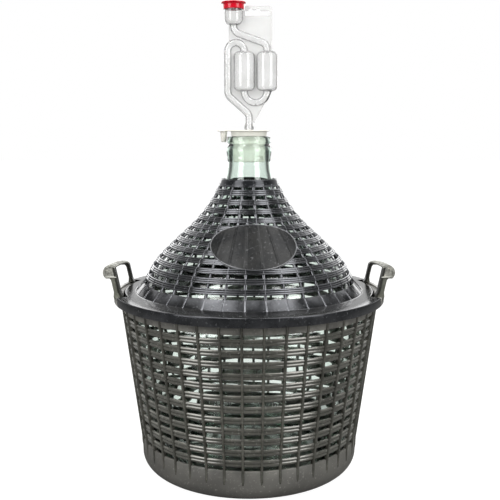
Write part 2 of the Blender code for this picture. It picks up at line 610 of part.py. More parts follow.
def cover_shell():
    """Collar, lattice tent, band, flange and skirt, the upper rows with every second rib."""
    net = Net()
    first = COVER_RIB_TURN - 2 * math.pi / COVER_RIBS
    turns = [first + 2 * math.pi * rib / COVER_RIBS for rib in range(COVER_RIBS)]
    half = COVER_RIB_WIDTH / 2
    hole = COVER_PITCH * HOLE_SHARE
    slat = COVER_PITCH - hole
    feet = [COVER_PITCH * row + slat / 2 for row in range(COVER_ROWS)]
    every = list(range(COVER_RIBS))
    open_from = COVER_ROWS - COVER_OPEN_ROWS
    ribs_of = [every if row < open_from else every[::2] for row in range(COVER_ROWS)]
    outside = [(BAND_TOP_RADIUS, COVER_TOP_Z + BAND_HEIGHT), (FLANGE_INNER_RADIUS, COVER_TOP_Z)]
    outside += [(RIM_RADIUS, COVER_TOP_Z), (RIM_RADIUS, COVER_TOP_Z - SKIRT_DEPTH)]
    outside += [(SKIRT_INNER_RADIUS, COVER_TOP_Z - SKIRT_DEPTH)]
    outside += [(SKIRT_INNER_RADIUS, COVER_TOP_Z - COVER_WALL)]
    outside += [(FLANGE_INNER_RADIUS - COVER_WALL, COVER_TOP_Z - COVER_WALL)]
    collar = [(COLLAR_FOOT_RADIUS, COLLAR_FOOT_Z), (COLLAR_RADIUS, COLLAR_FOOT_Z + COLLAR_HEIGHT)]
    collar += [(COLLAR_RADIUS - COVER_WALL, COLLAR_FOOT_Z + COLLAR_HEIGHT)]
    for rib, turn in enumerate(turns):
        for name, profile in (("outside", outside), ("collar", collar)):
            for level, (radius, height) in enumerate(profile):
                net.corner((name, rib, level), ring_point(turn, radius, height))
        for row in range(COVER_ROWS):
            if rib not in ribs_of[row]:
                continue
            for side, sign in (("left", -1), ("right", 1)):
                for end, along in (("foot", feet[row]), ("head", feet[row] + hole)):
                    radius, height = tent_point(along)
                    net.corner((side, rib, row, end), ring_point(turn, radius, height, sign * half))
        for row in range(COVER_ROWS + 1):
            beside = set(ribs_of[max(row - 1, 0)]) | set(ribs_of[min(row, COVER_ROWS - 1)])
            if row < COVER_ROWS and rib not in beside:
                continue
            radius, height = tent_point(COVER_PITCH * row, -COVER_WALL)
            net.corner(("edge", rib, row), ring_point(turn, radius, height))
            if 0 < row < COVER_ROWS:
                fades = row == open_from and rib % 2
                radius, height = tent_point(COVER_PITCH * row, 0.0 if fades else COVER_RIB_DEPTH)
                net.corner(("ridge", rib, row), ring_point(turn, radius, height))
        net.numbers[("ridge", rib, 0)] = net.numbers[("outside", rib, 0)]
        net.numbers[("ridge", rib, COVER_ROWS)] = net.numbers[("collar", rib, 0)]
    for row in range(COVER_ROWS):
        ribs = ribs_of[row]
        for rib, after in zip(ribs, ribs[1:] + ribs[:1]):
            span = [rib]
            while span[-1] != after:
                span.append((span[-1] + 1) % COVER_RIBS)
            low = [("edge", each, row) for each in reversed(span) if ("edge", each, row) in net.numbers]
            high = [
                ("edge", each, row + 1) for each in reversed(span) if ("edge", each, row + 1) in net.numbers
            ]
            foot = [("right", rib, row, "foot"), ("left", after, row, "foot")]
            head = [("right", rib, row, "head"), ("left", after, row, "head")]
            middle = turns[rib] + math.pi / COVER_RIBS * (len(span) - 1)
            if plaque_holds((middle + math.pi) % (2 * math.pi) - math.pi, feet[row] + hole / 2):
                net.face(foot[0], foot[1], head[1], head[0])
                net.face(*low, *reversed(high))
            else:
                net.face(*foot, *low)
                net.face(*head, *high)
                net.face(foot[0], head[0], ("edge", rib, row + 1), ("edge", rib, row))
                net.face(foot[1], head[1], ("edge", after, row + 1), ("edge", after, row))
            if row == 0:
                net.face(*foot, ("ridge", after, 0), ("ridge", rib, 0))
            elif ribs_of[row - 1] == ribs:
                net.face(("right", rib, row - 1, "head"), ("left", after, row - 1, "head"), foot[1], foot[0])
            else:
                between = span[1]
                line = [("right", rib, row - 1, "head"), ("left", between, row - 1, "head")]
                line += [("ridge", between, row), ("right", between, row - 1, "head")]
                line += [("left", after, row - 1, "head"), foot[1], foot[0]]
                net.face(*line)
            if row == COVER_ROWS - 1:
                net.face(*head, *[("collar", each, 0) for each in reversed(span)])
        for rib in ribs:
            for side in ("left", "right"):
                pair = [(side, rib, row, "foot"), (side, rib, row, "head")]
                net.face(*pair, ("ridge", rib, row + 1), ("ridge", rib, row))
                if row and rib in ribs_of[row - 1]:
                    net.face((side, rib, row - 1, "head"), (side, rib, row, "foot"), ("ridge", rib, row))
    for rib in range(COVER_RIBS):
        after = (rib + 1) % COVER_RIBS
        for name, profile in (("outside", outside), ("collar", collar)):
            for level in range(len(profile) - 1):
                pair = [(name, rib, level), (name, after, level)]
                net.face(*pair, (name, after, level + 1), (name, rib, level + 1))
        low = len(outside) - 1
        net.face(("outside", rib, low), ("outside", after, low), ("edge", after, 0), ("edge", rib, 0))
        high = [("edge", rib, COVER_ROWS), ("edge", after, COVER_ROWS)]
        net.face(("collar", rib, 2), ("collar", after, 2), *reversed(high))
    return net.mesh("cover")


def plaque():
    """The oval plate on the cover's front, bent to the tent."""
    sides = PLAQUE_SIDES
    corners = []
    rings = []
    outward = (0.0, PLAQUE_RING_SHARE, 1.0)
    for out, shares in ((PLAQUE_RAISE, outward), (-PLAQUE_WALL, outward[::-1])):
        for share in shares:
            ring = []
            for side in range(sides if share else 1):
                turn = 2 * math.pi * side / sides
                along = TENT_LENGTH * PLAQUE_PLACE_SHARE + share * PLAQUE_HALF_HEIGHT * math.sin(turn)
                radius, height = tent_point(along, out)
                surface_radius, _ = tent_point(along)
                across = share * PLAQUE_HALF_WIDTH * math.cos(turn) / surface_radius
                ring.append(len(corners))
                corners.append(ring_point(PLAQUE_TURN + across, radius, height))
            rings.append([ring[side % len(ring)] for side in range(sides)])
    faces = []
    for first, second in zip(rings, rings[1:]):
        for side in range(sides):
            after = (side + 1) % sides
            face = list(dict.fromkeys([first[side], first[after], second[after], second[side]]))
            faces.append(face)
    return mesh_of("plaque", corners, faces)


def curve_between(start, start_way, end, end_way, pull, steps):
    """A smooth curve in the plane of radius and height, with its direction set at both ends."""
    handles = (Vector(start) + Vector(start_way) * pull, Vector(end) - Vector(end_way) * pull)
    return [
        tuple(point)[:2]
        for point in interpolate_bezier(
            Vector(start).to_3d(), handles[0].to_3d(), handles[1].to_3d(), Vector(end).to_3d(), steps
        )
    ]


def tent_way(along):
    """Direction in which the tent's profile runs at a place on it."""
    reach = TENT_LENGTH / COVER_ROWS / 2
    way = Vector(tent_point(along + reach)) - Vector(tent_point(along - reach))
    return way.normalized()


def glass_wall_radius(height):
    """Outside of the bottle's body, a gap inside the basket's slats."""
    return (wall_radius(height) - BASKET_WALL) * math.cos(math.pi / BASKET_RIBS) - GLASS_GAP


def inset(line, depth):
    """A line of radius and height moved to its left, which is inwards on a bottle drawn upward."""
    moved = []
    for number, point in enumerate(line):
        before = Vector(line[max(number - 1, 0)])
        after = Vector(line[min(number + 1, len(line) - 1)])
        way = (after - before).normalized()
        moved.append((point[0] - way.y * depth, point[1] + way.x * depth))
    return moved


def bottle():
    """Glass bottle in two lengths, as outlines: foot, body and shoulder, then slope and neck."""
    corner_z = GLASS_FOOT_Z + GLASS_CORNER
    corner = (glass_wall_radius(corner_z) - GLASS_CORNER, corner_z)
    bend = arc(corner, GLASS_CORNER, -math.pi / 2, 0, CORNER_STEPS)
    lean = Vector((glass_wall_radius(GLASS_SHOULDER_Z) - bend[-1][0], GLASS_SHOULDER_Z - corner_z))
    stand_off = COVER_WALL + SHOULDER_GAP
    shoulder = curve_between(
        (glass_wall_radius(GLASS_SHOULDER_Z), GLASS_SHOULDER_Z),
        lean.normalized(),
        tent_point(0.0, -stand_off),
        tent_way(TENT_LENGTH / COVER_ROWS / 2),
        GLASS_SHOULDER_PULL,
        SHOULDER_POINTS,
    )
    neck_along = TENT_LENGTH * GLASS_NECK_SHARE
    slope = [tent_point(neck_along * step / SLOPE_POINTS, -stand_off) for step in range(1, SLOPE_POINTS)]
    neck = curve_between(
        tent_point(neck_along, -stand_off),
        tent_way(neck_along),
        (NECK_WAIST_RADIUS, LIP_TOP_Z - WAIST_BELOW_LIP),
        (0.0, 1.0),
        GLASS_NECK_PULL,
        NECK_POINTS,
    )
    lip_foot = LIP_TOP_Z - LIP_HEIGHT
    mouth = [
        (NECK_BULGE_RADIUS, LIP_TOP_Z - BULGE_BELOW_LIP),
        (LIP_RADIUS - LIP_GROOVE, lip_foot - LIP_GROOVE),
        (LIP_RADIUS - LIP_GROOVE, lip_foot),
        (LIP_RADIUS, lip_foot + LIP_GROOVE),
        (LIP_RADIUS, LIP_TOP_Z - LIP_GROOVE),
        (LIP_RADIUS - LIP_GROOVE, LIP_TOP_Z),
        (NECK_BORE_RADIUS, LIP_TOP_Z),
        (NECK_BORE_RADIUS, LIP_TOP_Z - WAIST_BELOW_LIP),
    ]
    low_count = len(bend) + len(shoulder)
    line = bend + shoulder + slope + neck
    hollow = inset(line, GLASS_WALL)
    seam = [tuple(Vector(side[low_count - 1]) + tent_way(0.0) * GLASS_SEAM) for side in (line, hollow)]
    base_radius = corner[0] - GLASS_FOOT_WIDTH
    inside_foot = GLASS_FOOT_Z + GLASS_BASE_WALL
    foot = [(0.0, inside_foot + GLASS_PUNT), (base_radius, inside_foot)]
    under = [(base_radius, GLASS_FOOT_Z), (0.0, GLASS_FOOT_Z + GLASS_PUNT)]
    low = line[:low_count] + hollow[low_count - 1 : 0 : -1] + foot[::-1] + under[::-1]
    high = [seam[0]] + line[low_count:] + mouth + hollow[-2 : low_count - 1 : -1] + [seam[1]]
    return low, high


def stem_radius(height):
    """Outside of the airlock's stem, which narrows towards its tip in the bung."""
    return STEM_RADIUS - (STEM_RADIUS - STEM_TIP_RADIUS) * (BUNG_TOP_Z - height) / STEM_DEPTH


def bung():
    """Rubber bung: flange, body on the bottle's lip and tapered plug, bored for the stem."""
    seat = LIP_TOP_Z + FIT_GAP
    foot = LIP_TOP_Z - BUNG_PLUG_DEPTH
    outline = [
        (STEM_RADIUS * TUBE_SIDES_FIT + FIT_GAP, BUNG_TOP_Z),
        (BUNG_FLANGE_RADIUS, BUNG_TOP_Z),
        (BUNG_FLANGE_RADIUS, BUNG_TOP_Z - BUNG_FLANGE_WALL),
        (BUNG_BODY_RADIUS, BUNG_TOP_Z - BUNG_FLANGE_WALL),
        (BUNG_BODY_RADIUS - BUNG_BODY_TAPER, seat),
        (PLUG_RADIUS, seat),
        (BUNG_FOOT_RADIUS, foot + BUNG_CHAMFER),
        (BUNG_FOOT_RADIUS - BUNG_CHAMFER, foot),
        (stem_radius(foot) * TUBE_SIDES_FIT + FIT_GAP, foot),
    ]
    return turned("bung", outline, BUNG_SIDES)


def spare_plug():
    """Small plug on a strap that folds up from the bung's edge, in three shapes joined as one."""
    low = BUNG_TOP_Z - STRAP_WALL
    flange = [(0.0, BUNG_TOP_Z), (SPARE_FLANGE_RADIUS, BUNG_TOP_Z)]
    flange += [(SPARE_FLANGE_RADIUS, BUNG_TOP_Z - SPARE_FLANGE_WALL), (0.0, BUNG_TOP_Z - SPARE_FLANGE_WALL)]
    top = BUNG_TOP_Z - SPARE_FLANGE_WALL / 2
    foot = BUNG_TOP_Z - SPARE_FLANGE_WALL - SPARE_LENGTH
    plug = [(0.0, top), (SPARE_RADIUS, top), (SPARE_FOOT_RADIUS, foot), (0.0, foot)]
    strap = prism(
        "spare_strap",
        [(SPARE_FLANGE_X, low), (HINGE_X - FIT_GAP / 2, low), (HINGE_X - FIT_GAP / 2, BUNG_TOP_Z - FIT_GAP)]
        + [(SPARE_FLANGE_X, BUNG_TOP_Z - FIT_GAP)],
        -STRAP_WIDTH / 2,
        STRAP_WIDTH / 2,
    )
    flange_mesh = turned("spare_flange", flange, SPARE_SIDES, (SPARE_FLANGE_X, 0.0))
    plug_mesh = turned("spare_body", plug, SPARE_SIDES, (SPARE_X, 0.0))
    return flange_mesh, [helper("spare_body", plug_mesh), helper("spare_strap", strap)]


def bend_at(before, corner, after, radius, steps):
    """Stations round a corner of the tube's line, each a place and a direction."""
    start_turn = math.atan2(corner[1] - before[1], corner[0] - before[0])
    change = math.atan2(after[1] - corner[1], after[0] - corner[0]) - start_turn
    change = (change + math.pi) % (2 * math.pi) - math.pi
    side = math.copysign(1.0, change)
    run = radius * math.tan(abs(change) / 2)
    start_x = corner[0] - run * math.cos(start_turn) - side * radius * math.sin(start_turn)
    start_z = corner[1] - run * math.sin(start_turn) + side * radius * math.cos(start_turn)
    stations = []
    for step in range(steps + 1):
        turn = start_turn + change * step / steps
        x = start_x + side * radius * math.sin(turn)
        z = start_z - side * radius * math.cos(turn)
        stations.append((x, z, turn))
    return stations


def bulb(x, wall, way):
    """Rings of a chamber with rounded shoulders, listed along the tube's way, up or down."""
    flat = CHAMBER_RADIUS - CHAMBER_ROUND
    centre = (flat, CHAMBER_TOP_Z - CHAMBER_ROUND)
    upper = arc(centre, CHAMBER_ROUND - wall, math.pi / 2, 0, ROUND_STEPS)
    lower = [(radius, CHAMBER_FOOT_Z + CHAMBER_TOP_Z - height) for radius, height in reversed(upper)]
    levels = upper + lower
    if wall:
        tube = TUBE_RADIUS - TUBE_WALL
        levels = [(tube, CHAMBER_TOP_Z - wall), *levels, (tube, CHAMBER_FOOT_Z + wall)]
    if way > 0:
        levels.reverse()
    return [(x, height, way * math.pi / 2, radius) for radius, height in levels]


def airlock_stations(hollow):
    """Places, directions and radii along the airlock from stem to cup, of its outside or its bore."""
    tip = BUNG_TOP_Z - STEM_DEPTH
    up = math.pi / 2
    tube = TUBE_RADIUS - TUBE_WALL if hollow else TUBE_RADIUS
    chamber_wall = CHAMBER_WALL if hollow else 0.0
    cup_wall = CUP_WALL if hollow else 0.0
    over = FIT_GAP if hollow else 0.0
    stations = [(0.0, tip - over, up, tube if hollow else STEM_TIP_RADIUS)]
    if not hollow:
        stations.append((0.0, BUNG_TOP_Z, up, STEM_RADIUS))
        stations.append((0.0, STEM_NECK_Z, up, STEM_RADIUS))
        stations.append((0.0, STEM_TAPER_Z, up, tube))
    upper_z = CHAMBER_TOP_Z + UPPER_BEND_RADIUS
    lower_z = CHAMBER_FOOT_Z - LOWER_BEND_RADIUS
    corners = [(0.0, tip), (0.0, ELBOW_Z), (DOWN_TUBE_X, DIAGONAL_TOP_Z), (DOWN_TUBE_X, upper_z)]
    corners += [(CHAMBER_LEFT_X, upper_z), (CHAMBER_LEFT_X, lower_z), (CHAMBER_RIGHT_X, lower_z)]
    corners += [(CHAMBER_RIGHT_X, SLANT_RIGHT_Z), (CUP_X, SLANT_LEFT_Z), (CUP_X, CUP_TOP_Z)]
    bends = [(ELBOW_RADIUS, ELBOW_STEPS)] * 2 + [(UPPER_BEND_RADIUS, BEND_STEPS)] * 2
    bends += [(LOWER_BEND_RADIUS, BEND_STEPS)] * 2 + [(ELBOW_RADIUS, ELBOW_STEPS)] * 2
    left_in, right_in = 3, 5
    for number, (radius, steps) in enumerate(bends):
        round_corner = bend_at(*corners[number : number + 3], radius, steps)
        if number in (left_in, right_in):
            round_corner = round_corner[1:]
        stations += [(x, z, turn, tube) for x, z, turn in round_corner]
        if number == left_in:
            stations += bulb(CHAMBER_LEFT_X, chamber_wall, -1)
        if number == right_in:
            stations += bulb(CHAMBER_RIGHT_X, chamber_wall, 1)
    foot = CUP_FOOT_Z + cup_wall
    stations.append((CUP_X, foot, up, tube))
    centre = (CUP_RADIUS - CUP_ROUND, CUP_FOOT_Z + CUP_ROUND)
    for radius, height in arc(centre, CUP_ROUND - cup_wall, -math.pi / 2, 0, ROUND_STEPS):
        stations.append((CUP_X, height, up, radius))
    stations.append((CUP_X, CUP_TOP_Z + over, up, CUP_RADIUS - cup_wall))
    return stations


def sweep(name, stations):
    """Round tube through stations of x, z, direction and radius, its flats at those radii."""
    rings = []
    for x, z, turn, radius in stations:
        ring = []
        for side in range(TUBE_SIDES):
            angle = 2 * math.pi * (side + 0.5) / TUBE_SIDES
            off = radius * TUBE_SIDES_FIT * math.cos(angle)
            depth = radius * TUBE_SIDES_FIT * math.sin(angle)
            ring.append((x + off * math.sin(turn), depth, z - off * math.cos(turn)))
        rings.append(ring)
    return loft(name, rings)


def hanger_plate():
    """Outline of the plate between the tubes, stepped clear of the cap and tapered to the stem."""
    corner = (PLATE_RIGHT_X - PLATE_CORNER, PLATE_TOP_Z - PLATE_CORNER)
    outline = [(0.0, PLATE_FOOT_Z), (0.0, ELBOW_Z), (DOWN_TUBE_X, DIAGONAL_TOP_Z)]
    outline += [(DOWN_TUBE_X, CHAMBER_TOP_Z), (PLATE_LEFT_X, CHAMBER_TOP_Z)]
    outline += [(PLATE_LEFT_X, SLANT_LEFT_Z), (CUP_X, CUP_FOOT_Z), (CUP_X, PLATE_STEP_Z)]
    outline += [(PLATE_STEP_X, PLATE_STEP_Z), (PLATE_STEP_X, PLATE_TOP_Z)]
    outline += arc(corner, PLATE_CORNER, math.pi / 2, 0, PLATE_CORNER_STEPS)
    outline += [(PLATE_RIGHT_X, PLATE_TAPER_Z), (PLATE_FOOT_X, PLATE_FOOT_Z)]
    return prism("hanger_plate", outline, -PLATE_WALL / 2, PLATE_WALL / 2)


def hang_slot():
    """Slot through the plate with a hump in the middle of its top."""
    top = SLOT_FOOT_Z + SLOT_HEIGHT
    hump_left = SLOT_HUMP_X - SLOT_HUMP_WIDTH / 2
    hump_right = SLOT_HUMP_X + SLOT_HUMP_WIDTH / 2
    slope = SLOT_HUMP_HEIGHT / 2
    outline = [(SLOT_LEFT_X, SLOT_FOOT_Z), (SLOT_RIGHT_X, SLOT_FOOT_Z), (SLOT_RIGHT_X, top)]
    outline += [(hump_right, top), (hump_right - slope, top + SLOT_HUMP_HEIGHT)]
    outline += [(hump_left + slope, top + SLOT_HUMP_HEIGHT), (hump_left, top), (SLOT_LEFT_X, top)]
    return prism("hang_slot", outline, -PLATE_WALL, PLATE_WALL)


def half_space(name, side):
    """A block that holds one half of the airlock, in front of the plane y = 0 or behind it."""
    reach = CHAMBER_RIGHT_X + 2 * CHAMBER_RADIUS
    low = BUNG_TOP_Z - STEM_DEPTH - CHAMBER_RADIUS
    high = CUP_TOP_Z + CHAMBER_RADIUS
    outline = [(-reach, low), (reach, low), (reach, high), (-reach, high)]
    return prism(name, outline, 0.0, 2 * side * CHAMBER_RADIUS)


def airlock_cap():
    """Push-on cap: domed top with a flange, and a skirt round the cup's brim."""
    hollow = CUP_RADIUS * TUBE_SIDES_FIT + FIT_GAP
    ceiling = CUP_TOP_Z + FIT_GAP
    top = ceiling + CAP_FLANGE_WALL
    middle = ceiling + CAP_FLANGE_WALL / 2
    foot = top - CAP_HEIGHT
    outline = [
        (0.0, top + CAP_DOME),
        (CAP_FLANGE_RADIUS - CAP_FLARE, top),
        (CAP_FLANGE_RADIUS, middle),
        (CAP_FLANGE_RADIUS - CAP_FLARE, ceiling),
        (hollow + CAP_WALL + CAP_FLARE, ceiling),
        (hollow + CAP_WALL, foot),
        (hollow, foot),
        (hollow, ceiling),
        (0.0, ceiling),
    ]
    return turned("airlock_cap", outline, CAP_SIDES, (CUP_X, 0.0))


for thing in list(bpy.data.objects):
    bpy.data.objects.remove(thing)

basket_look = material("basket plastic", (0.035, 0.031, 0.028), 0.45)
cover_look = material("cover plastic", (0.016, 0.017, 0.021), 0.30)
glass_look = material("pale green glass", (0.78, 0.93, 0.85), 0.03, 0.9, 0.35)
bung_look = material("cream rubber", (0.80, 0.78, 0.74), 0.50)
airlock_look = material("clear plastic", (0.88, 0.88, 0.87), 0.10, 0.8, 0.40)
cap_look = material("red plastic", (0.42, 0.005, 0.015), 0.30)

basket = place("basket", basket_shell(), basket_look, (0.0, 0.0, 0.0))
for handle_side in (-1, 1):
    combine(basket, handle(handle_side), "UNION")

glass_origin = (0.0, 0.0, GLASS_FOOT_Z)
body_outline, neck_outline = bottle()
body_mesh = turned("glass_bottle", body_outline, GLASS_SIDES)
neck_mesh = turned("glass_neck", neck_outline, GLASS_SIDES)
glass = place("glass_bottle", body_mesh, glass_look, glass_origin, basket)
place("glass_neck", neck_mesh, glass_look, glass_origin, glass)

cover = place("cover", cover_shell(), cover_look, (0.0, 0.0, COVER_TOP_Z), glass)
combine(cover, helper("plaque", plaque()), "UNION")
for notch_middle in (0.0, math.pi):
    notch = sector(
        "cover_notch",
        NOTCH_RADIUS,
        RIM_RADIUS + COVER_WALL,
        COVER_TOP_Z - SKIRT_DEPTH - COVER_WALL,
        COVER_TOP_Z + COVER_WALL,
        notch_middle,
        NOTCH_HALF_ANGLE,
        APRON_STEPS,
    )
    combine(cover, helper("cover_notch", notch), "DIFFERENCE")

stopper = place("bung", bung(), bung_look, (0.0, 0.0, LIP_TOP_Z), glass)
spare_mesh, spare_shapes = spare_plug()
spare = place("spare_plug", spare_mesh, bung_look, (HINGE_X, 0.0, BUNG_TOP_Z), stopper)
for shape in spare_shapes:
    combine(spare, shape, "UNION")

plate = helper("hanger_plate", hanger_plate())
bore = helper("airlock_bore", sweep("airlock_bore", airlock_stations(True)))
slot = helper("hang_slot", hang_slot())
shells = []
for shell_name, shell_side in (("airlock_front_shell", -1), ("airlock_rear_shell", 1)):
    tube_mesh = sweep(shell_name, airlock_stations(False))
    shell = place(shell_name, tube_mesh, airlock_look, (0.0, 0.0, BUNG_TOP_Z), stopper)
    combine(shell, plate, "UNION")
    combine(shell, bore, "DIFFERENCE")
    combine(shell, slot, "DIFFERENCE")
    combine(shell, helper(f"{shell_name}_half", half_space(shell_name, shell_side)), "INTERSECT")
    shells.append(shell)

place("airlock_cap", airlock_cap(), cap_look, (CUP_X, 0.0, CUP_TOP_Z), shells[0])
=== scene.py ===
# %% [markdown]
# # A demijohn in its basket
# The object is a big glass bottle for wine that stands in a moulded plastic basket with two
# handles. A second lattice, the cover, goes over its shoulder. A rubber bung closes the neck and
# holds an airlock, a bent clear tube with two chambers and a red cap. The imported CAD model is
# loaded first and never changed: every finer piece below is made in its frame, in metres, with the
# floor at zero height, the bottle's axis on Z and the front towards -Y.

# %% Load the frame
import math

import bpy
import numpy as np
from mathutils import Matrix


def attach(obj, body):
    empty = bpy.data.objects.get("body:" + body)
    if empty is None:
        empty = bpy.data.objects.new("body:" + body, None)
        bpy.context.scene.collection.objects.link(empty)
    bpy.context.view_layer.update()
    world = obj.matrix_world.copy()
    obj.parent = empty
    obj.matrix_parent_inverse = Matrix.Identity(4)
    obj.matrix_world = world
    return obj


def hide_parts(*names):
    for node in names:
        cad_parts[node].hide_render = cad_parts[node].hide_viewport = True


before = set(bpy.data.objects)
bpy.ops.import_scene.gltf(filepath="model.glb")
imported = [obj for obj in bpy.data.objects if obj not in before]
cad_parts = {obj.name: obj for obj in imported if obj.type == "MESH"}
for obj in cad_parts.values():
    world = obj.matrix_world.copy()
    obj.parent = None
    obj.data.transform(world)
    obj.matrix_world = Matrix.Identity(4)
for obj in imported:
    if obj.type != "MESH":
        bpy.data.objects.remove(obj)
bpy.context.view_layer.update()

print("nodes:", sorted(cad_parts))

# %% [markdown]
# ## Surfaces from grids
# Nearly everything here was turned, moulded or blown, so each surface is a grid: one parameter runs
# along a profile and the other round the axis or along a path. Modelling by hand would give the
# same faces one at a time. A formula worked out for whole arrays gives them all at once, and a
# change of one size moves them all.

# %% Turn a grid of points into faces
def grid(*coordinates):
    """Points from their coordinates, each one number, a row, a column or a whole grid."""
    return np.stack(np.broadcast_arrays(*coordinates), axis=-1)


def polar(place, turn, across=0.0):
    """Places (radius r, height) turned by t from the front and moved across by a.

    x = r sin t + a cos t, y = a sin t - r cos t, z = height
    """
    radius, height = place[..., 0], place[..., 1]
    x = radius * np.sin(turn) + across * np.cos(turn)
    y = across * np.sin(turn) - radius * np.cos(turn)
    return grid(x, y, height)


def surface(points, looped=False):
    """Faces of a grid of points [copy, row, column], each joining (r, c), (r, c+1), (r+1, c+1), (r+1, c).

    Each row is closed round. The last row joins the first where looped is set, and otherwise one
    face closes each end. Six times a copy's signed volume is the sum of p0 . (p1 x p2) over its
    triangles. Where it is below zero the copy is inside out, and its faces are turned round.
    """
    points = np.asarray(points, dtype=float)
    if points.ndim == 3:
        points = points[None]
    copies, rows, columns, _ = points.shape
    index = np.arange(copies * rows * columns).reshape(copies, rows, columns)
    ends = [] if looped else [index[:, :1, ::-1], index[:, -1:]]
    if looped:
        index = np.concatenate([index, index[:, :1]], axis=1)
    index = np.concatenate([index, index[:, :, :1]], axis=2)
    quads = np.stack([index[:, :-1, :-1], index[:, :-1, 1:], index[:, 1:, 1:], index[:, 1:, :-1]], axis=-1)
    groups = [quads.reshape(copies, -1, 4), *ends]
    flat = points.reshape(-1, 3)
    volume = np.zeros(copies)
    for group in groups:
        corners = flat[group]
        crossed = np.cross(corners[:, :, 1:-1], corners[:, :, 2:])
        volume += (corners[:, :, :1] * crossed).sum(axis=(1, 2, 3))
    inside_out = volume < 0
    turned = [np.where(inside_out[:, None, None], group[:, :, ::-1], group) for group in groups]
    return flat, [group.reshape(-1, group.shape[-1]) for group in turned]

# %% [markdown]
# Every piece rides on one body of the CAD model and stands for that body's nodes, which are hidden.
# A table says which, so that no call below has to repeat it; the slot it names is not used.

# %% Build a piece
STANDS_FOR = {
    "basket": (["basket"], "basket_plastic"),
    "cover": (["cover"], "cover_plastic"),
    "bottle": (["glass_bottle", "glass_neck"], "green_glass"),
    "bung": (["bung"], "bung_rubber"),
    "spare_plug": (["spare_plug"], "bung_rubber"),
    "airlock": (["airlock_front_shell", "airlock_rear_shell"], "clear_plastic"),
    "cap": (["airlock_cap"], "cap_plastic"),
}


def build(name, parts, look, body, crease=38):
    """One object from many closed surfaces, with edges sharper than the crease (degrees) kept sharp."""
    faces = []
    start = 0
    for flat, groups in parts:
        for group in groups:
            faces.extend((group + start).tolist())
        start += len(flat)
    mesh = bpy.data.meshes.new(name)
    mesh.from_pydata(np.concatenate([flat for flat, _ in parts]), [], faces)
    mesh.validate()
    mesh.shade_smooth()
    mesh.set_sharp_from_angle(angle=math.radians(crease))
    made = bpy.data.objects.new(name, mesh)
    bpy.context.scene.collection.objects.link(made)
    mesh.materials.append(look)
    nodes, slot = STANDS_FOR[body]
    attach(made, body)
    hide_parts(*nodes)
    print(f"{name}: {len(mesh.vertices)} points, {len(mesh.polygons)} faces")
    return made

# %% [markdown]
# Profiles are drawn in millimetres, as on a maker's sheet. Smooth curves through a few measured
# points come from a cubic formula, and round corners from arcs. A profile turned about the axis
# gives a ring.

# %% Curves and rings
def drawn(*points, above=0.0):
    """Points (radius, height) of a profile in millimetres, from a level in metres."""
    return np.array(points) / 1000 + [0, above]


def smooth_line(knots, steps):
    """Curve through all knots. Between b and c, with a before and d after, at t from 0 to 1:

    (2b + (c - a)t + (2a - 5b + 4c - d)t^2 + (3b - a - 3c + d)t^3) / 2
    """
    knots = np.asarray(knots, dtype=float)
    ends = np.concatenate([[2 * knots[0] - knots[1]], knots, [2 * knots[-1] - knots[-2]]])
    a, b, c, d = ends[:-3, None], ends[1:-2, None], ends[2:-1, None], ends[3:, None]
    t = (np.arange(steps) / steps)[None, :, None]
    line = 2 * b + (c - a) * t + (2 * a - 5 * b + 4 * c - d) * t**2 + (3 * b - a - 3 * c + d) * t**3
    return np.concatenate([line.reshape(-1, knots.shape[1]) / 2, knots[-1:]])


def pulled_curve(start, start_pull, end_pull, end, steps):
    """Curve (1-t)^3 a + 3(1-t)^2 t b + 3(1-t) t^2 c + t^3 d from a to d, pulled towards b and c."""
    t = np.linspace(0, 1, steps + 1)[:, None]
    a, b, c, d = (np.asarray(point, dtype=float) for point in (start, start_pull, end_pull, end))
    return (1 - t) ** 3 * a + 3 * (1 - t) ** 2 * t * b + 3 * (1 - t) * t**2 * c + t**3 * d


def arc(centre, radius, start, end, steps):
    """Points of an arc: centre + radius (cos t, sin t), with t in degrees from start to end."""
    t = np.radians(np.linspace(start, end, steps + 1))
    return grid(centre[0] + radius * np.cos(t), centre[1] + radius * np.sin(t))


def joined(*pieces):
    """Points and runs of points of a profile, one after the other."""
    return np.concatenate([np.atleast_2d(np.asarray(piece, dtype=float)) for piece in pieces])


def around(steps):
    """Angles of a full turn, in equal steps."""
    return np.arange(steps) * 2 * math.pi / steps


def ring(profile, steps):
    """Closed profiles [copy, point, (radius, height)] turned about the axis."""
    return surface(polar(profile[..., None, :], around(steps)), looped=True)


def dish(profile, steps):
    """A profile that starts and ends next to the axis, turned, its two small ends closed."""
    return surface(polar(profile[:, None], around(steps)))

# %% [markdown]
# ## Finishes
# Each material is a chain of nodes on Object coordinates: clouds of colour at a large scale, grain
# at a small one, lighter wear where the surface is convex (the Pointiness of Geometry), dust where
# it faces up, and a bump for the texture of the mould. Painted images would do the same for one
# mesh only. These chains fit any mesh and come from a few numbers.

# %% Node helpers
def colour(code):
    """Linear colour of a hex code: ((c + 0.055) / 1.055) ^ 2.4, or c / 12.92 where it is very dark."""
    parts = np.array([int(code[at : at + 2], 16) / 255 for at in (1, 3, 5)])
    linear = np.where(parts > 0.04045, ((parts + 0.055) / 1.055) ** 2.4, parts / 12.92)
    return (*linear.tolist(), 1.0)


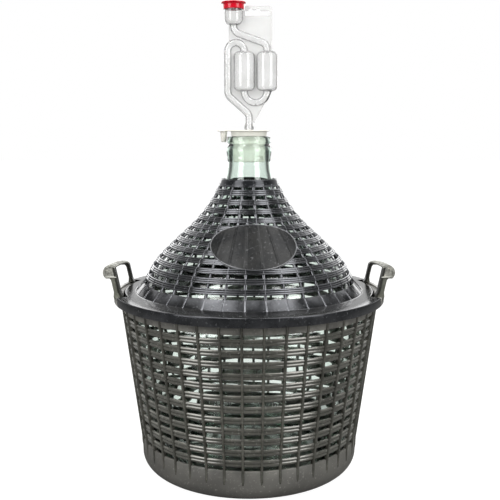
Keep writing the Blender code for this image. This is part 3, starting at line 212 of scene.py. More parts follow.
class Finish:
    """A node tree of a material or the world, with one short call for each kind of node it uses."""

    def __init__(self, name, owner=None):
        """The tree of a new material or of its owner, with Object coordinates at hand."""
        self.look = owner or bpy.data.materials.new(name)
        self.look.use_nodes = True
        self.tree = self.look.node_tree
        self.shader = self.tree.nodes.get("Principled BSDF")
        self.place = self.add("ShaderNodeTexCoord").outputs["Object"]

    def feed(self, socket, value):
        """A link where the value comes from a node, otherwise the plain value."""
        if isinstance(value, bpy.types.NodeSocket):
            self.tree.links.new(value, socket)
        else:
            socket.default_value = value

    def add(self, kind, inputs=None, **settings):
        """A node of a kind, with its settings set and its inputs fed."""
        node = self.tree.nodes.new(kind)
        for key, value in settings.items():
            setattr(node, key, value)
        for key, value in (inputs or {}).items():
            self.feed(node.inputs[key], value)
        return node

    def noise(self, scale, detail=4.0, stretch=(1, 1, 1)):
        """Clouds of noise: noise(scale x place), the place first stretched along each axis."""
        moved = self.add("ShaderNodeMapping", {"Vector": self.place, "Scale": stretch}).outputs[0]
        sizes = {"Vector": moved, "Scale": scale, "Detail": detail, "Roughness": 0.55}
        return self.add("ShaderNodeTexNoise", sizes).outputs["Fac"]

    def between(self, value, low, high, to_low=0.0, to_high=1.0):
        """A value mapped from one range to another and held inside it."""
        sizes = {"Value": value, "From Min": low, "From Max": high, "To Min": to_low, "To Max": to_high}
        return self.add("ShaderNodeMapRange", sizes).outputs["Result"]

    def clouds(self, scale, detail, low, high, to_low=0.0, to_high=1.0):
        """Noise between two of its levels, mapped to another range."""
        return self.between(self.noise(scale, detail), low, high, to_low, to_high)

    def times(self, a, b):
        """Product of two values."""
        return self.add("ShaderNodeMath", {0: a, 1: b}, operation="MULTIPLY").outputs[0]

    def blend(self, share, first, second):
        """first (1 - share) + second share, for plain numbers."""
        return self.add("ShaderNodeMix", {"Factor": share, "A": first, "B": second}).outputs["Result"]

    def mix(self, share, first, second):
        """first (1 - share) + second share, for colours, whose sockets are told apart by identifier."""
        node = self.add("ShaderNodeMix", data_type="RGBA")
        sockets = {socket.identifier: socket for socket in (*node.inputs, *node.outputs)}
        self.feed(sockets["Factor_Float"], share)
        self.feed(sockets["A_Color"], first)
        self.feed(sockets["B_Color"], second)
        return sockets["Result_Color"]

    def stained(self, base, where, strength, code):
        """The base with a colour over it, where a mask is 1 and as strong as given."""
        return self.mix(self.times(where, strength), base, colour(code))

    def bump(self, height, distance, strength, below=None):
        """Normal of a surface raised by height x distance, on top of another bump where one is given."""
        sizes = {"Height": height, "Distance": distance, "Strength": strength}
        if below is not None:
            sizes["Normal"] = below
        return self.add("ShaderNodeBump", sizes).outputs["Normal"]

    def edges(self):
        """1 where the mesh is convex and 0 elsewhere."""
        return self.between(self.add("ShaderNodeNewGeometry").outputs["Pointiness"], 0.52, 0.60)

    def upward(self, low=0.5, high=0.95):
        """1 where the surface faces up and 0 where it doesn't."""
        normal = self.add("ShaderNodeNewGeometry").outputs["Normal"]
        return self.between(self.add("ShaderNodeSeparateXYZ", {0: normal}).outputs["Z"], low, high)

    def absorbs(self, tone, density):
        """A volume that takes light away along its way inside."""
        volume = self.add("ShaderNodeVolumeAbsorption", {"Color": tone, "Density": density})
        self.tree.links.new(volume.outputs[0], self.tree.nodes["Material Output"].inputs["Volume"])

    def shade(self, **sockets):
        """Sockets of the shader, their names with _ for a space."""
        for key, value in sockets.items():
            self.feed(self.shader.inputs[key.replace("_", " ")], value)
        return self.look

# %% [markdown]
# The plastics are one moulding compound in many states: the basket is glossy, its base dull and
# dusty, the cover nearly blue-black, the plaque matt. Three rows are copies of it whose tone is
# painted light: the ribs and the posts' inner bars are darker as painted shade, and the plaque's
# border is lighter as a painted highlight. So one function makes them all from a row of values each.

# %% Moulded plastics
def moulded(name, dark, light, worn, gloss, grain, wear, dust, tint, shine):
    """Moulded plastic: clouded colour, worn ridges, dust on top, fine grain and flow marks."""
    finish = Finish(name)
    base = finish.mix(finish.clouds(14.0, 5.0, 0.35, 0.68), colour(dark), colour(light))
    base = finish.stained(base, finish.clouds(420.0, 2.0, 0.62, 0.74), 0.25, worn)
    rubbed = finish.times(finish.edges(), finish.clouds(60.0, 3.0, 0.38, 0.62))
    base = finish.stained(base, rubbed, wear, worn)
    dusty = finish.times(finish.upward(), finish.clouds(35.0, 4.0, 0.3, 0.7))
    base = finish.stained(base, dusty, dust, "#b4b0a6")
    rough = finish.clouds(30.0, 5.0, 0.3, 0.7, *gloss)
    fine = finish.bump(finish.noise(900.0, 3.0), 0.0002, grain)
    flow = finish.bump(finish.noise(45.0, 3.0, (1, 1, 0.35)), 0.0003, grain, fine)
    return finish.shade(
        Base_Color=base,
        Roughness=rough,
        Normal=flow,
        Specular_Tint=colour(tint),
        Specular_IOR_Level=shine,
    )


# Each row: dark, light and worn colour, least and most roughness, grain, wear, dust, tint and shine.
PLASTICS = {
    "basket": ("#353531", "#484843", "#b7b5ad", (0.06, 0.16), 0.3, 0.85, 0.08, "#fffdf6", 0.95),
    # rib: the basket's plastic made darker, painted shade along the ribs.
    "rib": ("#292924", "#363630", "#908e85", (0.16, 0.30), 0.3, 0.50, 0.06, "#ffffff", 0.6),
    "base": ("#444340", "#53524e", "#aba9a0", (0.36, 0.52), 0.4, 0.30, 0.15, "#ffffff", 0.35),
    # shaded: the web's plastic made near black, painted shade on the posts' inner bars.
    "shaded": ("#131310", "#1d1d19", "#5c5c54", (0.25, 0.40), 0.3, 0.35, 0.02, "#ffffff", 0.5),
    "web": ("#3b3c35", "#53544b", "#a5a599", (0.32, 0.50), 0.5, 0.55, 0.05, "#ffffff", 0.5),
    "cover": ("#0f1011", "#17181a", "#8b8c90", (0.07, 0.17), 0.2, 0.60, 0.03, "#f6f8ff", 1.0),
    "rim": ("#101112", "#18191b", "#7c7d80", (0.10, 0.22), 0.2, 0.35, 0.03, "#f6f8ff", 0.38),
    "plaque": ("#101112", "#18191a", "#8a8b8d", (0.22, 0.34), 0.5, 0.75, 0.05, "#ffffff", 0.15),
    # border: the cover's plastic made lighter, a painted highlight on the plaque's raised line.
    "border": ("#2e2f31", "#454649", "#a0a1a4", (0.20, 0.34), 0.3, 0.55, 0.05, "#ffffff", 0.8),
}
looks = {name: moulded(f"{name}_plastic", *values) for name, values in PLASTICS.items()}
print("plastics:", [look.name for look in looks.values()])

# %% [markdown]
# The grips are where hands go. Their plastic is rubbed to a pale grey-green, with long scratches
# across. Stretching the noise along one axis turns its clouds into scratches.

# %% Worn grips
def worn_grips():
    """Two clouded tones with dark blotches, light scratches, and painted shade where the grip faces down."""
    finish = Finish("grip_plastic")
    base = finish.mix(finish.clouds(55.0, 6.0, 0.36, 0.64), colour("#80807a"), colour("#aeaea6"))
    base = finish.stained(base, finish.clouds(260.0, 4.0, 0.50, 0.62), 0.75, "#4e4d47")
    scratches = finish.between(finish.noise(240.0, 3.0, (1.0, 0.12, 1.0)), 0.62, 0.70)
    base = finish.stained(base, scratches, 0.8, "#d9d4c4")
    # Painted shade: where the grip faces down, it is darkened towards near black.
    down = finish.between(finish.upward(-0.5, 0.35), 0.0, 1.0, 1.0, 0.0)
    base = finish.stained(base, down, 0.85, "#3b3933")
    rough = finish.clouds(90.0, 5.0, 0.3, 0.7, 0.42, 0.68)
    pits = finish.bump(finish.noise(330.0, 4.0), 0.0006, 0.6)
    return finish.shade(Base_Color=base, Roughness=rough, Normal=pits)


grip_look = worn_grips()
print("grips:", grip_look.name)

# %% [markdown]
# Glass has no colour on its surface: its green comes from the length of the light's way inside
# it. So the surface stays nearly clear, and an absorbing volume makes edges, where that way is
# long, darker. The clear plastic of the airlock is a little milky, and its thin plate is milkier.

# %% Glass and clear plastic
def pale_glass():
    """Clear glass. A way inside it of length s leaves exp(-34 (1 - tone) s) of each colour."""
    finish = Finish("green_glass")
    wavy = finish.bump(finish.noise(22.0, 2.0), 0.0012, 0.35)
    finish.absorbs((0.50, 0.80, 0.64, 1.0), 34.0)
    film = finish.clouds(40.0, 4.0, 0.35, 0.7, 0.0, 0.03)
    tone = finish.mix(finish.clouds(9.0, 4.0, 0.3, 0.7), (0.95, 0.99, 0.96, 1), (0.98, 1.0, 0.985, 1))
    return finish.shade(
        Base_Color=tone,
        Roughness=film,
        Normal=wavy,
        Transmission_Weight=1.0,
        IOR=1.5,
        Specular_IOR_Level=0.3,
    )


def milky_plastic():
    """Clear plastic with a grey volume: a way of length s leaves exp(-90 (1 - tone) s)."""
    finish = Finish("clear_plastic")
    tone = finish.mix(finish.clouds(60.0, 4.0, 0.3, 0.7), colour("#f3f3f2"), colour("#fbfbfb"))
    rough = finish.clouds(140.0, 3.0, 0.3, 0.7, 0.02, 0.06)
    uneven = finish.bump(finish.noise(120.0, 2.0), 0.0002, 0.2)
    finish.absorbs((0.50, 0.50, 0.51, 1.0), 90.0)
    return finish.shade(Base_Color=tone, Roughness=rough, Normal=uneven, Transmission_Weight=0.93, IOR=1.36)


def milky_plate():
    """The flat plate between the tubes is rougher than they are and lets less light through."""
    finish = Finish("plate_plastic")
    tone = finish.mix(finish.clouds(45.0, 4.0, 0.3, 0.7), colour("#d0d0cf"), colour("#dadad9"))
    rough = finish.clouds(140.0, 3.0, 0.3, 0.7, 0.12, 0.24)
    uneven = finish.bump(finish.noise(160.0, 2.0), 0.0003, 0.3)
    return finish.shade(Base_Color=tone, Roughness=rough, Normal=uneven, Transmission_Weight=0.55, IOR=1.30)


glass_look = pale_glass()
airlock_look = milky_plastic()
plate_look = milky_plate()
print("clear:", glass_look.name, airlock_look.name, plate_look.name)

# %% [markdown]
# Rubber lets light in a little way before it comes out again, which rounds its shadows. The red
# cap is thin, so some light passes through it.

# %% Rubber and cap
def cream_rubber():
    """Two clouded creams with darker soil. A tenth of the light goes 2 mm deep before it comes out."""
    finish = Finish("bung_rubber")
    base = finish.mix(finish.clouds(80.0, 4.0, 0.32, 0.68), colour("#cdcbc2"), colour("#dedcd4"))
    base = finish.stained(base, finish.clouds(220.0, 5.0, 0.58, 0.72), 0.3, "#c2bdb0")
    return finish.shade(
        Base_Color=base,
        Roughness=finish.clouds(150.0, 4.0, 0.3, 0.7, 0.42, 0.6),
        Normal=finish.bump(finish.noise(700.0, 3.0), 0.0002, 0.4),
        Subsurface_Weight=0.1,
        Subsurface_Radius=(1.0, 1.0, 1.0),
        Subsurface_Scale=0.002,
    )


def red_plastic():
    """Two clouded reds, 15% of the surface clear."""
    finish = Finish("cap_plastic")
    return finish.shade(
        Base_Color=finish.mix(finish.clouds(120.0, 3.0, 0.3, 0.7), colour("#b8041c"), colour("#c80a26")),
        Roughness=finish.clouds(200.0, 4.0, 0.3, 0.7, 0.16, 0.26),
        Normal=finish.bump(finish.noise(300.0, 2.0), 0.0001, 0.15),
        Transmission_Weight=0.15,
        IOR=1.48,
    )


rubber_look = cream_rubber()
cap_look = red_plastic()
print("rubber and cap:", rubber_look.name, cap_look.name)

# %% [markdown]
# ## The basket
# The wall leans outward from the base to the rim. It has thirteen rows of holes between ribs, and
# each slat between two rows is moulded with two rounded ridges and a groove. A pattern of holes
# cut from one wall would need hundreds of Boolean cuts. Slats as rings, with bars swept up across
# them, overlap into the same lattice, and every ridge is real, so it catches the light.

# %% Sizes of the basket
WALL_FOOT = np.array([0.1328, 0.038])
WALL_TOP = np.array([0.1558, 0.2129])
BASKET_WALL = 0.0032
HOLE_ROWS = 13
FIRST_HOLE_Z = 0.0405
HOLE_PITCH = 0.01284
HOLE_HEIGHT = 0.00525
BASKET_RIBS = 40
BASKET_RIB_TURN = math.radians(-2.85)
ROUND = 216


def wall_radius(height):
    """Straight line in radius and height from the wall's foot to its top."""
    share = (height - WALL_FOOT[1]) / (WALL_TOP[1] - WALL_FOOT[1])
    return WALL_FOOT[0] + (WALL_TOP[0] - WALL_FOOT[0]) * share


wall_way = (WALL_TOP - WALL_FOOT) / np.hypot(*(WALL_TOP - WALL_FOOT))
wall_out = np.array([wall_way[1], -wall_way[0]])
print("wall leans", round(math.degrees(math.atan2(*wall_way)), 2), "degrees")

# %% Slats
def ridged(height, ridges, depth, wall, points):
    """Section of a slat as (along, out), with a flat back.

    Its ridges have the height depth |sin(n pi s)|^0.7, for s from 0 to 1, in as many points each.
    """
    s = np.linspace(0, 1, ridges * points + 1)
    front = grid((s - 0.5) * height, depth * (np.abs(np.sin(ridges * math.pi * s)) ** 0.7 - 1))
    high_side = [0.5 * height, -0.72 * wall]
    low_side = [-0.5 * height, -0.72 * wall]
    return joined(front, high_side, [0.42 * height, -wall], [-0.42 * height, -wall], low_side)


slat = ridged(HOLE_PITCH - HOLE_HEIGHT, 2, 0.0009, BASKET_WALL, 7)
slat_z = FIRST_HOLE_Z + HOLE_PITCH * (np.arange(HOLE_ROWS - 1) + 0.5)
middles = grid(wall_radius(slat_z), slat_z)[:, None]
basket_slats = ring(middles + slat[:, :1] * wall_way + slat[:, 1:] * wall_out, ROUND)
print("slats:", len(slat_z), "of", round(1000 * (HOLE_PITCH - HOLE_HEIGHT), 2), "mm")

# %% [markdown]
# The ribs are bars with a rounded front, swept up the wall. Each section is the same outline,
# scaled by the bar's half width and its height above the wall at that place, so a bar can fade into
# the band below by sinking.

# %% Bars swept up a profile
# Outline of a bar, as shares of its half width and its height.
BAR = np.array([
    [-1, 0], [-1, 0.45], [-0.86, 0.78], [-0.5, 0.97], [0, 1.0], [0.5, 0.97], [0.86, 0.78], [1, 0.45], [1, 0],
])
RIB_HALF_WIDTH = 0.00165
RIB_FOOT = -0.0028
RIB_LOW_Z = 0.0195


def bars(path, ways, turns, half_width, top, foot):
    """One bar at each turn, up a path of (radius, height) with its outward directions.

    A point (p, q) of the section stands foot + (top - foot) q out from the path, p half_width across.
    """
    out = foot + (top - foot)[:, None] * BAR[:, 1]
    place = path[:, None] + ways[:, None] * out[..., None]
    return surface(polar(place, turns[:, None, None], half_width * BAR[:, 0]))


rib_z = np.concatenate([np.linspace(RIB_LOW_Z, 0.038, 8), np.linspace(0.0392, 0.2126, 36)])
rib_path = grid(np.where(rib_z < WALL_FOOT[1], WALL_FOOT[0], wall_radius(rib_z)), rib_z)
rib_top = np.interp(rib_z, [RIB_LOW_Z, 0.026, 0.040], [-0.0004, 0.0010, 0.0016])
rib_ways = np.tile(wall_out, (len(rib_z), 1))
rib_turns = BASKET_RIB_TURN + around(BASKET_RIBS)
basket_ribs = bars(rib_path, rib_ways, rib_turns, RIB_HALF_WIDTH, rib_top, RIB_FOOT)
print("ribs:", BASKET_RIBS)

# %% [markdown]
# The base is a shallow dish with a raised middle, so the basket stands on a ring. The wall's plain
# top carries a lip that the cover's skirt goes over.

# %% Base and rim
base_corner = (0.1148, 0.018)
base_profile = joined(
    drawn([1.0, 4.0], [99.8, 4.0], [101.6, 3.4], [104.0, 0.6], [105.4, 0.0]),
    arc(base_corner, 0.018, -90, 0, 14),
    drawn([132.8, 37.0], [132.4, 37.9], [130.0, 37.9], [129.6, 37.2], [128.8, 20.0]),
    arc(base_corner, 0.0110, 0, -90, 8)[1:],
    drawn([1.0, 7.0]),
)
last_z = FIRST_HOLE_Z + HOLE_PITCH * (HOLE_ROWS - 1) + HOLE_HEIGHT / 2
plain_z = 0.2050
rim_profile = joined(
    [wall_radius(last_z), last_z],
    [wall_radius(plain_z), plain_z],
    drawn([155.6, 211.2], [156.6, 212.7], [160.0, 212.9], [160.7, 213.3], [160.9, 214.2]),
    drawn([160.7, 215.0], [160.0, 215.4], [153.2, 215.4], [152.6, 214.8], [152.4, 212.0]),
    [wall_radius(last_z) - BASKET_WALL, last_z],
)
build("basket_lattice", [basket_slats], looks["basket"], "basket")
# The ribs' darker plastic is painted shade, not a colour of their own.
build("basket_ribs", [basket_ribs], looks["rib"], "basket")
build("basket_base", [dish(base_profile, ROUND), ring(rim_profile, ROUND)], looks["base"], "basket", 30)

# %% [markdown]
# ## The handles
# Each handle is moulded with the basket: two posts rise through a notch in the cover, and a grip
# arched like a gutter turned over joins them. A post is a narrow bar on the inside, drawn near
# black as painted shade, and a web beside it, set back a little, which ends at the grip's outer
# lip. The grip is a thin strip between two arcs, swept along Y. Its inner edge falls towards the
# back while its outer lip stays level, so the arc it covers changes along the way. A bevel rounds
# the posts' edges, which is where moulded plastic shines. All shapes below are those of the right
# handle.

# %% Handle sizes
HANDLE_HALF = 0.051
HANDLE_TOP_Z = 0.2475
HANDLE_TOP_X = 0.1552
GRIP_RADIUS = 0.0092
GRIP_WALL = 0.0026
RIM_FOOT_Z = 0.2129
RIM_FOOT_X = 0.148
LIP_Z = 0.2401
GRIP_START = math.radians(128)
BAR_WIDTH = 0.0033
BEAD_RADIUS = 0.0012
BEAD_HALF = 0.0496
END_BAR_RADIUS = 0.0014
FLARE_Z = np.linspace(0.2190, 0.2250, 6)
SHADED_BAR_DEPTH = 0.009
WEB_SET_BACK = 0.0007
WEB_FRONT = 0.0080
WEB_BACK = 0.0055
WEB_ROUND = 0.0050
APRON_HALF = math.radians(20.6)
ARC_STEPS = 25


def grip_top(along):
    """Height of the grip's inner edge: falls 11 mm from front to back, with a crest of 1.5 mm between."""
    share = along / HANDLE_HALF
    return HANDLE_TOP_Z - share * 0.0055 + 0.0015 * (1 - share**2)


def grip_middle(along):
    """Centre of the grip's arc, as x and z: the inner edge sits on the arc at 128 degrees."""
    middle_x = HANDLE_TOP_X - GRIP_RADIUS * math.cos(GRIP_START)
    return middle_x, grip_top(along) - GRIP_RADIUS * math.sin(GRIP_START)


def grip_end(along):
    """Angle where the arc meets the level of the outer lip: asin((lip - centre) / radius)."""
    rise = (LIP_Z - grip_middle(along)[1]) / (GRIP_RADIUS - GRIP_WALL / 2)
    return np.arcsin(np.clip(rise, -0.62, 0.60))


def lip_x(along):
    """Where the middle of the grip's wall reaches the lip."""
    return grip_middle(along)[0] + (GRIP_RADIUS - GRIP_WALL / 2) * np.cos(grip_end(along))


covered = GRIP_START - grip_end(np.array([-HANDLE_HALF, 0, HANDLE_HALF]))
print("grip covers", np.degrees(covered).round(0), "degrees")

# %% Grip and its lip
def grip():
    """Strip between two arcs from 128 degrees down to the lip, its inner edge rounded, swept along Y."""
    along = np.linspace(-HANDLE_HALF, HANDLE_HALF, 61)[:, None]
    share = np.linspace(0, 1, ARC_STEPS)
    outer = GRIP_START + (grip_end(along) - GRIP_START) * share
    rounding = GRIP_START + np.radians([3.0, 4.5, 3.0]) + 0 * along
    angle = np.concatenate([outer, outer[:, ::-1], rounding], axis=1)
    inner_radius = GRIP_RADIUS - GRIP_WALL
    edge_radius = [inner_radius + 0.0006, GRIP_RADIUS - 0.0013, GRIP_RADIUS - 0.0006]
    radius = np.concatenate([np.repeat([GRIP_RADIUS, inner_radius], ARC_STEPS), edge_radius])
    middle_x, middle_z = grip_middle(along)
    return grid(middle_x + radius * np.cos(angle), along, middle_z + radius * np.sin(angle))


def lip_bead():
    """Round bead under the grip's outer edge: a radius of 1.2 mm swept along Y, small at its two ends."""
    ends = np.array([0.0504, 0.0509, 0.0511])
    along = np.concatenate([-ends[::-1], np.linspace(-BEAD_HALF, BEAD_HALF, 40), ends])[:, None]
    past = np.clip(np.abs(along) - BEAD_HALF, 0, None) / 0.00152
    radius = BEAD_RADIUS * np.sqrt(np.clip(1 - past**2, 0.01, 1))
    turn = around(14)
    return grid(lip_x(along) + radius * np.cos(turn), along, LIP_Z + radius * np.sin(turn))


def end_bar(end):
    """Bar across a grip's end at the lip's height: a radius of 1.4 mm, from the shaded bar to the bead."""
    x = np.linspace(bar_inside(LIP_Z) + 0.0008, float(lip_x(end * HANDLE_HALF)), 16)[:, None]
    turn = around(14)
    y = end * (HANDLE_HALF - 0.0010 + END_BAR_RADIUS * np.cos(turn))
    return grid(x, y, LIP_Z + END_BAR_RADIUS * np.sin(turn))


def end_plate(end):
    """Plate that closes the grip's end along the arc, in front down to a straight foot at the lip."""
    along = end * HANDLE_HALF
    angle = np.linspace(GRIP_START, float(grip_end(along)), 19)
    middle_x, middle_z = grip_middle(along)
    radius = GRIP_RADIUS - 0.0008
    x = middle_x + radius * np.cos(angle)
    z = middle_z + radius * np.sin(angle)
    if end < 0:
        foot_z = LIP_Z - 0.0002
        x = np.append(x, bar_inside(LIP_Z) + 0.0030)
        z = np.append(np.maximum(z, foot_z), foot_z)
    y = end * np.array([HANDLE_HALF - 0.0022, HANDLE_HALF - 0.0006])[:, None]
    return grid(x, y, z)

# %% Posts
def bar_inside(z):
    """Inside of a post: x runs from 148 mm at the rim to 155.2 at the grip."""
    share = (z - RIM_FOOT_Z) / (HANDLE_TOP_Z - RIM_FOOT_Z)
    return RIM_FOOT_X + (HANDLE_TOP_X - RIM_FOOT_X) * share


def flared(z):
    """1.6 mm more at the foot, faded out 4.5 mm above the cover's flange."""
    return 0.0016 * np.interp(z, [0.2172, 0.2195, 0.2225], [1.0, 0.55, 0.0])


def box_up(low_x, high_x, near_y, far_y, z):
    """Four corners lofted up a post, its sides in x following the height."""
    x = grid(low_x, high_x, high_x, low_x)
    return grid(x, [near_y, near_y, far_y, far_y], z[:, None])


# The inner bar is the same plastic as the web. Its near-black shaded look is painted shade.
def shaded_bar(end):
    """Bar 3.3 mm wide and 9 mm deep up to the grip's inner edge."""
    top_z = grip_top(end * HANDLE_HALF) - 0.0006
    z = np.concatenate([[RIM_FOOT_Z, 0.2172], FLARE_Z, np.linspace(0.2285, top_z, 8)])
    inner = bar_inside(z) - flared(z)
    back_y = HANDLE_HALF - SHADED_BAR_DEPTH
    return box_up(inner, inner + BAR_WIDTH, end * HANDLE_HALF, end * back_y, z)


def web(end):
    """Plate beside the bar, 0.7 mm back, up to the lip, with a round at its top.

    It reaches 8 mm from the bar's inside in front and 5.5 mm behind.
    """
    z = np.concatenate([[RIM_FOOT_Z, 0.2154, 0.2172], FLARE_Z, np.linspace(0.2275, LIP_Z - 0.0004, 12)])
    width = WEB_FRONT if end < 0 else WEB_BACK
    rounded = 0.0030 * np.clip((z - LIP_Z + WEB_ROUND) / WEB_ROUND, 0, 1) ** 2.5
    inner = bar_inside(z)
    outer = inner + width + flared(z) + rounded
    front_y = HANDLE_HALF - WEB_SET_BACK
    return box_up(inner + 0.0008, outer, end * front_y, end * (front_y - 0.0022), z)


def apron():
    """Piece of the rim's outside that fills the cover's notch, 20.6 degrees to each side of X."""
    profile = drawn(
        [159.2, 207.0], [163.4, 207.0], [164.0, 207.7], [164.0, 216.0], [163.4, 216.8], [159.2, 216.9],
    )
    turn = math.pi / 2 + np.linspace(-APRON_HALF, APRON_HALF, 41)
    return polar(profile, turn[:, None])

# %% Left and right handle
def bevelled(made, width):
    """Rounds the sharp edges of a piece."""
    step = made.modifiers.new("rounded edges", "BEVEL")
    step.width = width
    step.segments = 2
    step.limit_method = "ANGLE"
    step.angle_limit = math.radians(40)


# Each row: name, grids of points, look and width of the bevel.
HANDLE_PIECES = (
    ("grip", [grip(), lip_bead(), end_bar(-1), end_bar(1)], grip_look, None),
    ("grip_ends", [end_plate(-1), end_plate(1)], grip_look, 0.0004),
    # The inner bars take the shaded plastic, which is painted shade.
    ("shaded_bars", [shaded_bar(-1), shaded_bar(1)], looks["shaded"], 0.0006),
    ("webs", [web(-1), web(1)], looks["web"], 0.0006),
    ("apron", [apron()], looks["basket"], None),
)
for side, hand in ((-1, "left"), (1, "right")):
    for piece, grids, look, rounding in HANDLE_PIECES:
        sided = [surface(points * [side, 1, 1]) for points in grids]
        made = build(f"{hand}_{piece}", sided, look, "basket")
        if rounding:
            bevelled(made, rounding)

# %% [markdown]
# ## The cover
# The cover is a tent of lattice over the bottle's shoulder, from a smooth band on a flat flange up
# to a collar round the neck. Its profile is one smooth curve, and rows of holes are spaced equally
# along it. The functions below give a point at any length along that curve, moved off it along its
# normal, so slats, ribs and plaque all follow the same curve.

# %% The tent's profile
TENT_FOOT = np.array([0.1281, 0.229])
TENT_HEAD = np.array([0.0355, 0.347])
# Knots of the curve as shares of the tent's width and height, from its foot to its head.
TENT_SHARES = np.array([
    [1.0, 0.0], [0.850, 0.208], [0.589, 0.419], [0.306, 0.629], [0.112, 0.827], [0.0, 1.0],
])
TENT_PITCH = 0.01205
FIRST_HOLE = 0.0028
tent_start = np.array([TENT_HEAD[0], TENT_FOOT[1]])
tent_span = np.array([TENT_FOOT[0] - TENT_HEAD[0], TENT_HEAD[1] - TENT_FOOT[1]])
tent_line = smooth_line(tent_start + tent_span * TENT_SHARES, 40)
tent_lengths = np.append(0.0, np.cumsum(np.hypot(*np.diff(tent_line, axis=0).T)))
tent_length = tent_lengths[-1]
tent_ways = np.gradient(tent_line, tent_lengths, axis=0)
tent_ways /= np.hypot(*tent_ways.T)[:, None]


def at_length(along, values):
    """Two values that change along the curve, read at a length along it."""
    return grid(*(np.interp(along, tent_lengths, column) for column in values.T))


def tent_way(along):
    """Direction of the curve at a length along it, as (radius, height)."""
    way = at_length(np.clip(along, 0, tent_length), tent_ways)
    return way / np.linalg.norm(way, axis=-1, keepdims=True)


def square_to(way):
    """Outward normal of a direction: (height's share, minus radius's share)."""
    return grid(way[..., 1], -way[..., 0])


def tent(along, out=0.0):
    """Point at a length along the curve, moved out along its normal, and straight on past the ends."""
    held = np.clip(along, 0, tent_length)
    way = tent_way(held)
    past = np.asarray(along - held)[..., None]
    return at_length(held, tent_line) + way * past + square_to(way) * np.asarray(out)[..., None]


print("tent:", round(1000 * tent_length, 1), "mm long, pitch", round(1000 * TENT_PITCH, 2), "mm")

# %% [markdown]
# The cover's slats have three fine ridges each and stand a little proud of the bars between them,
# which gives the outline its steps. The lower nine rows have a bar every ten degrees and the upper
# four, where the ring is small, only every twenty. A thin crest runs up over each slat in line with
# the bars and dips away at every hole.

# %% Cover slats
COVER_WALL = 0.0022
COVER_HOLE = 0.0050
PROUD = 0.00035

cover_slat = ridged(TENT_PITCH - COVER_HOLE, 3, 0.0007, COVER_WALL + PROUD, 5) + [0, PROUD]
slat_at = FIRST_HOLE + TENT_PITCH * (np.arange(HOLE_ROWS - 1) + 0.5)
cover_slats = ring(tent(slat_at[:, None] + cover_slat[:, 0], cover_slat[:, 1]), ROUND)
head_low = FIRST_HOLE + TENT_PITCH * (HOLE_ROWS - 1) + COVER_HOLE / 2
head_slat = ridged(tent_length - head_low, 1, 0.0004, COVER_WALL, 6)
head_slats = ring(tent((head_low + tent_length) / 2 + head_slat[:, 0], head_slat[:, 1]), ROUND)
build("cover_lattice", [cover_slats, head_slats], looks["cover"], "cover")

# %% Cover ribs
COVER_RIB_TURN = math.radians(-1.8)
COVER_RIB_STEP = math.radians(10)
BAND_FOOT = np.array([0.1374, 0.2182])
# Each bar: half width, height over the slats and in the holes, and depth of its foot.
WIDE_BAR = (0.0016, -0.0003, -0.0004, -0.0022)
CREST = (0.0005, 0.0005, -0.0004, -0.0014)
BAND_BAR_TOP = 0.0003
SHORT_BAR_ROWS = 8.7

band_path = np.linspace(BAND_FOOT, TENT_FOOT, 7)[:-1]
band_way = (TENT_FOOT - BAND_FOOT) / np.hypot(*(TENT_FOOT - BAND_FOOT))
# Shares of a pitch at which a bar has a section, from slat to slat, close together at a hole's edge.
row_shares = np.array([-0.5, -0.32, -0.24, -0.19, 0.0, 0.19, 0.24, 0.32])


def cover_bars(turns, last, half_width, over_slats, in_holes, foot):
    """Bars from the flange over the band and up the tent, with one height over slats and one in holes."""
    along = (FIRST_HOLE + TENT_PITCH * (np.arange(HOLE_ROWS)[:, None] + row_shares)).ravel()
    along = np.append(along[(along > 0) & (along < last)], last)
    rows = (along - FIRST_HOLE) / TENT_PITCH
    over_tent = np.interp(np.abs(rows - np.rint(rows)), [0.19, 0.24], [in_holes, over_slats])
    top = np.append(np.full(len(band_path), BAND_BAR_TOP), over_tent)
    ways = np.concatenate([np.tile(square_to(band_way), (len(band_path), 1)), square_to(tent_way(along))])
    return bars(np.concatenate([band_path, tent(along)]), ways, turns, half_width, top, foot)


short_turns = COVER_RIB_TURN + around(18)
long_turns = short_turns - COVER_RIB_STEP
short_end = FIRST_HOLE + SHORT_BAR_ROWS * TENT_PITCH
cover_ribs = [
    cover_bars(turns, last, *bar)
    for bar in (WIDE_BAR, CREST)
    for turns, last in ((long_turns, tent_length), (short_turns, short_end))
]
build("cover_ribs", cover_ribs, looks["cover"], "cover")

# %% [markdown]
# Flange and skirt are one moulding that is cut away at the handles. Instead of a Boolean, the
# profile itself changes with the angle: inside a notch every point is pulled back to the notch's
# radius, and two angles close together at its ends make the notch's side walls.

# %% Band, flange, skirt and collar
NOTCH_HALF = math.radians(21.2)
NOTCH_EDGE = math.radians(0.02)
QUARTER = math.pi / 2
OUTSIDE_NOTCH = slice(6, 16)
COLLAR_OVERLAP = 0.0030

rim_line = drawn(
    [128.1, 229.0], [136.6, 219.0], [137.1, 218.4], [137.8, 218.1], [139.0, 218.0],
    [149.6, 218.0], [162.5, 218.0], [163.4, 217.8], [163.9, 217.3], [164.0, 216.6],
    [164.0, 207.9], [163.7, 207.2], [163.1, 207.0], [162.4, 207.0], [161.8, 207.6],
    [161.8, 215.6], [149.0, 215.8], [135.6, 215.8], [134.5, 216.6], [126.2, 227.2],
)
notch_line = rim_line.copy()
notch_line[OUTSIDE_NOTCH] = drawn(
    [150.0, 218.0], [150.3, 217.9], [150.5, 217.7], [150.5, 217.4], [150.5, 216.5],
    [150.5, 216.3], [150.3, 216.1], [150.1, 216.0], [149.8, 215.9], [149.5, 215.8],
)
open_turns = np.linspace(-QUARTER + NOTCH_HALF, QUARTER - NOTCH_HALF, 121)
notch_turns = np.linspace(QUARTER - NOTCH_HALF + NOTCH_EDGE, QUARTER + NOTCH_HALF - NOTCH_EDGE, 41)
half_turns = np.concatenate([open_turns, notch_turns])
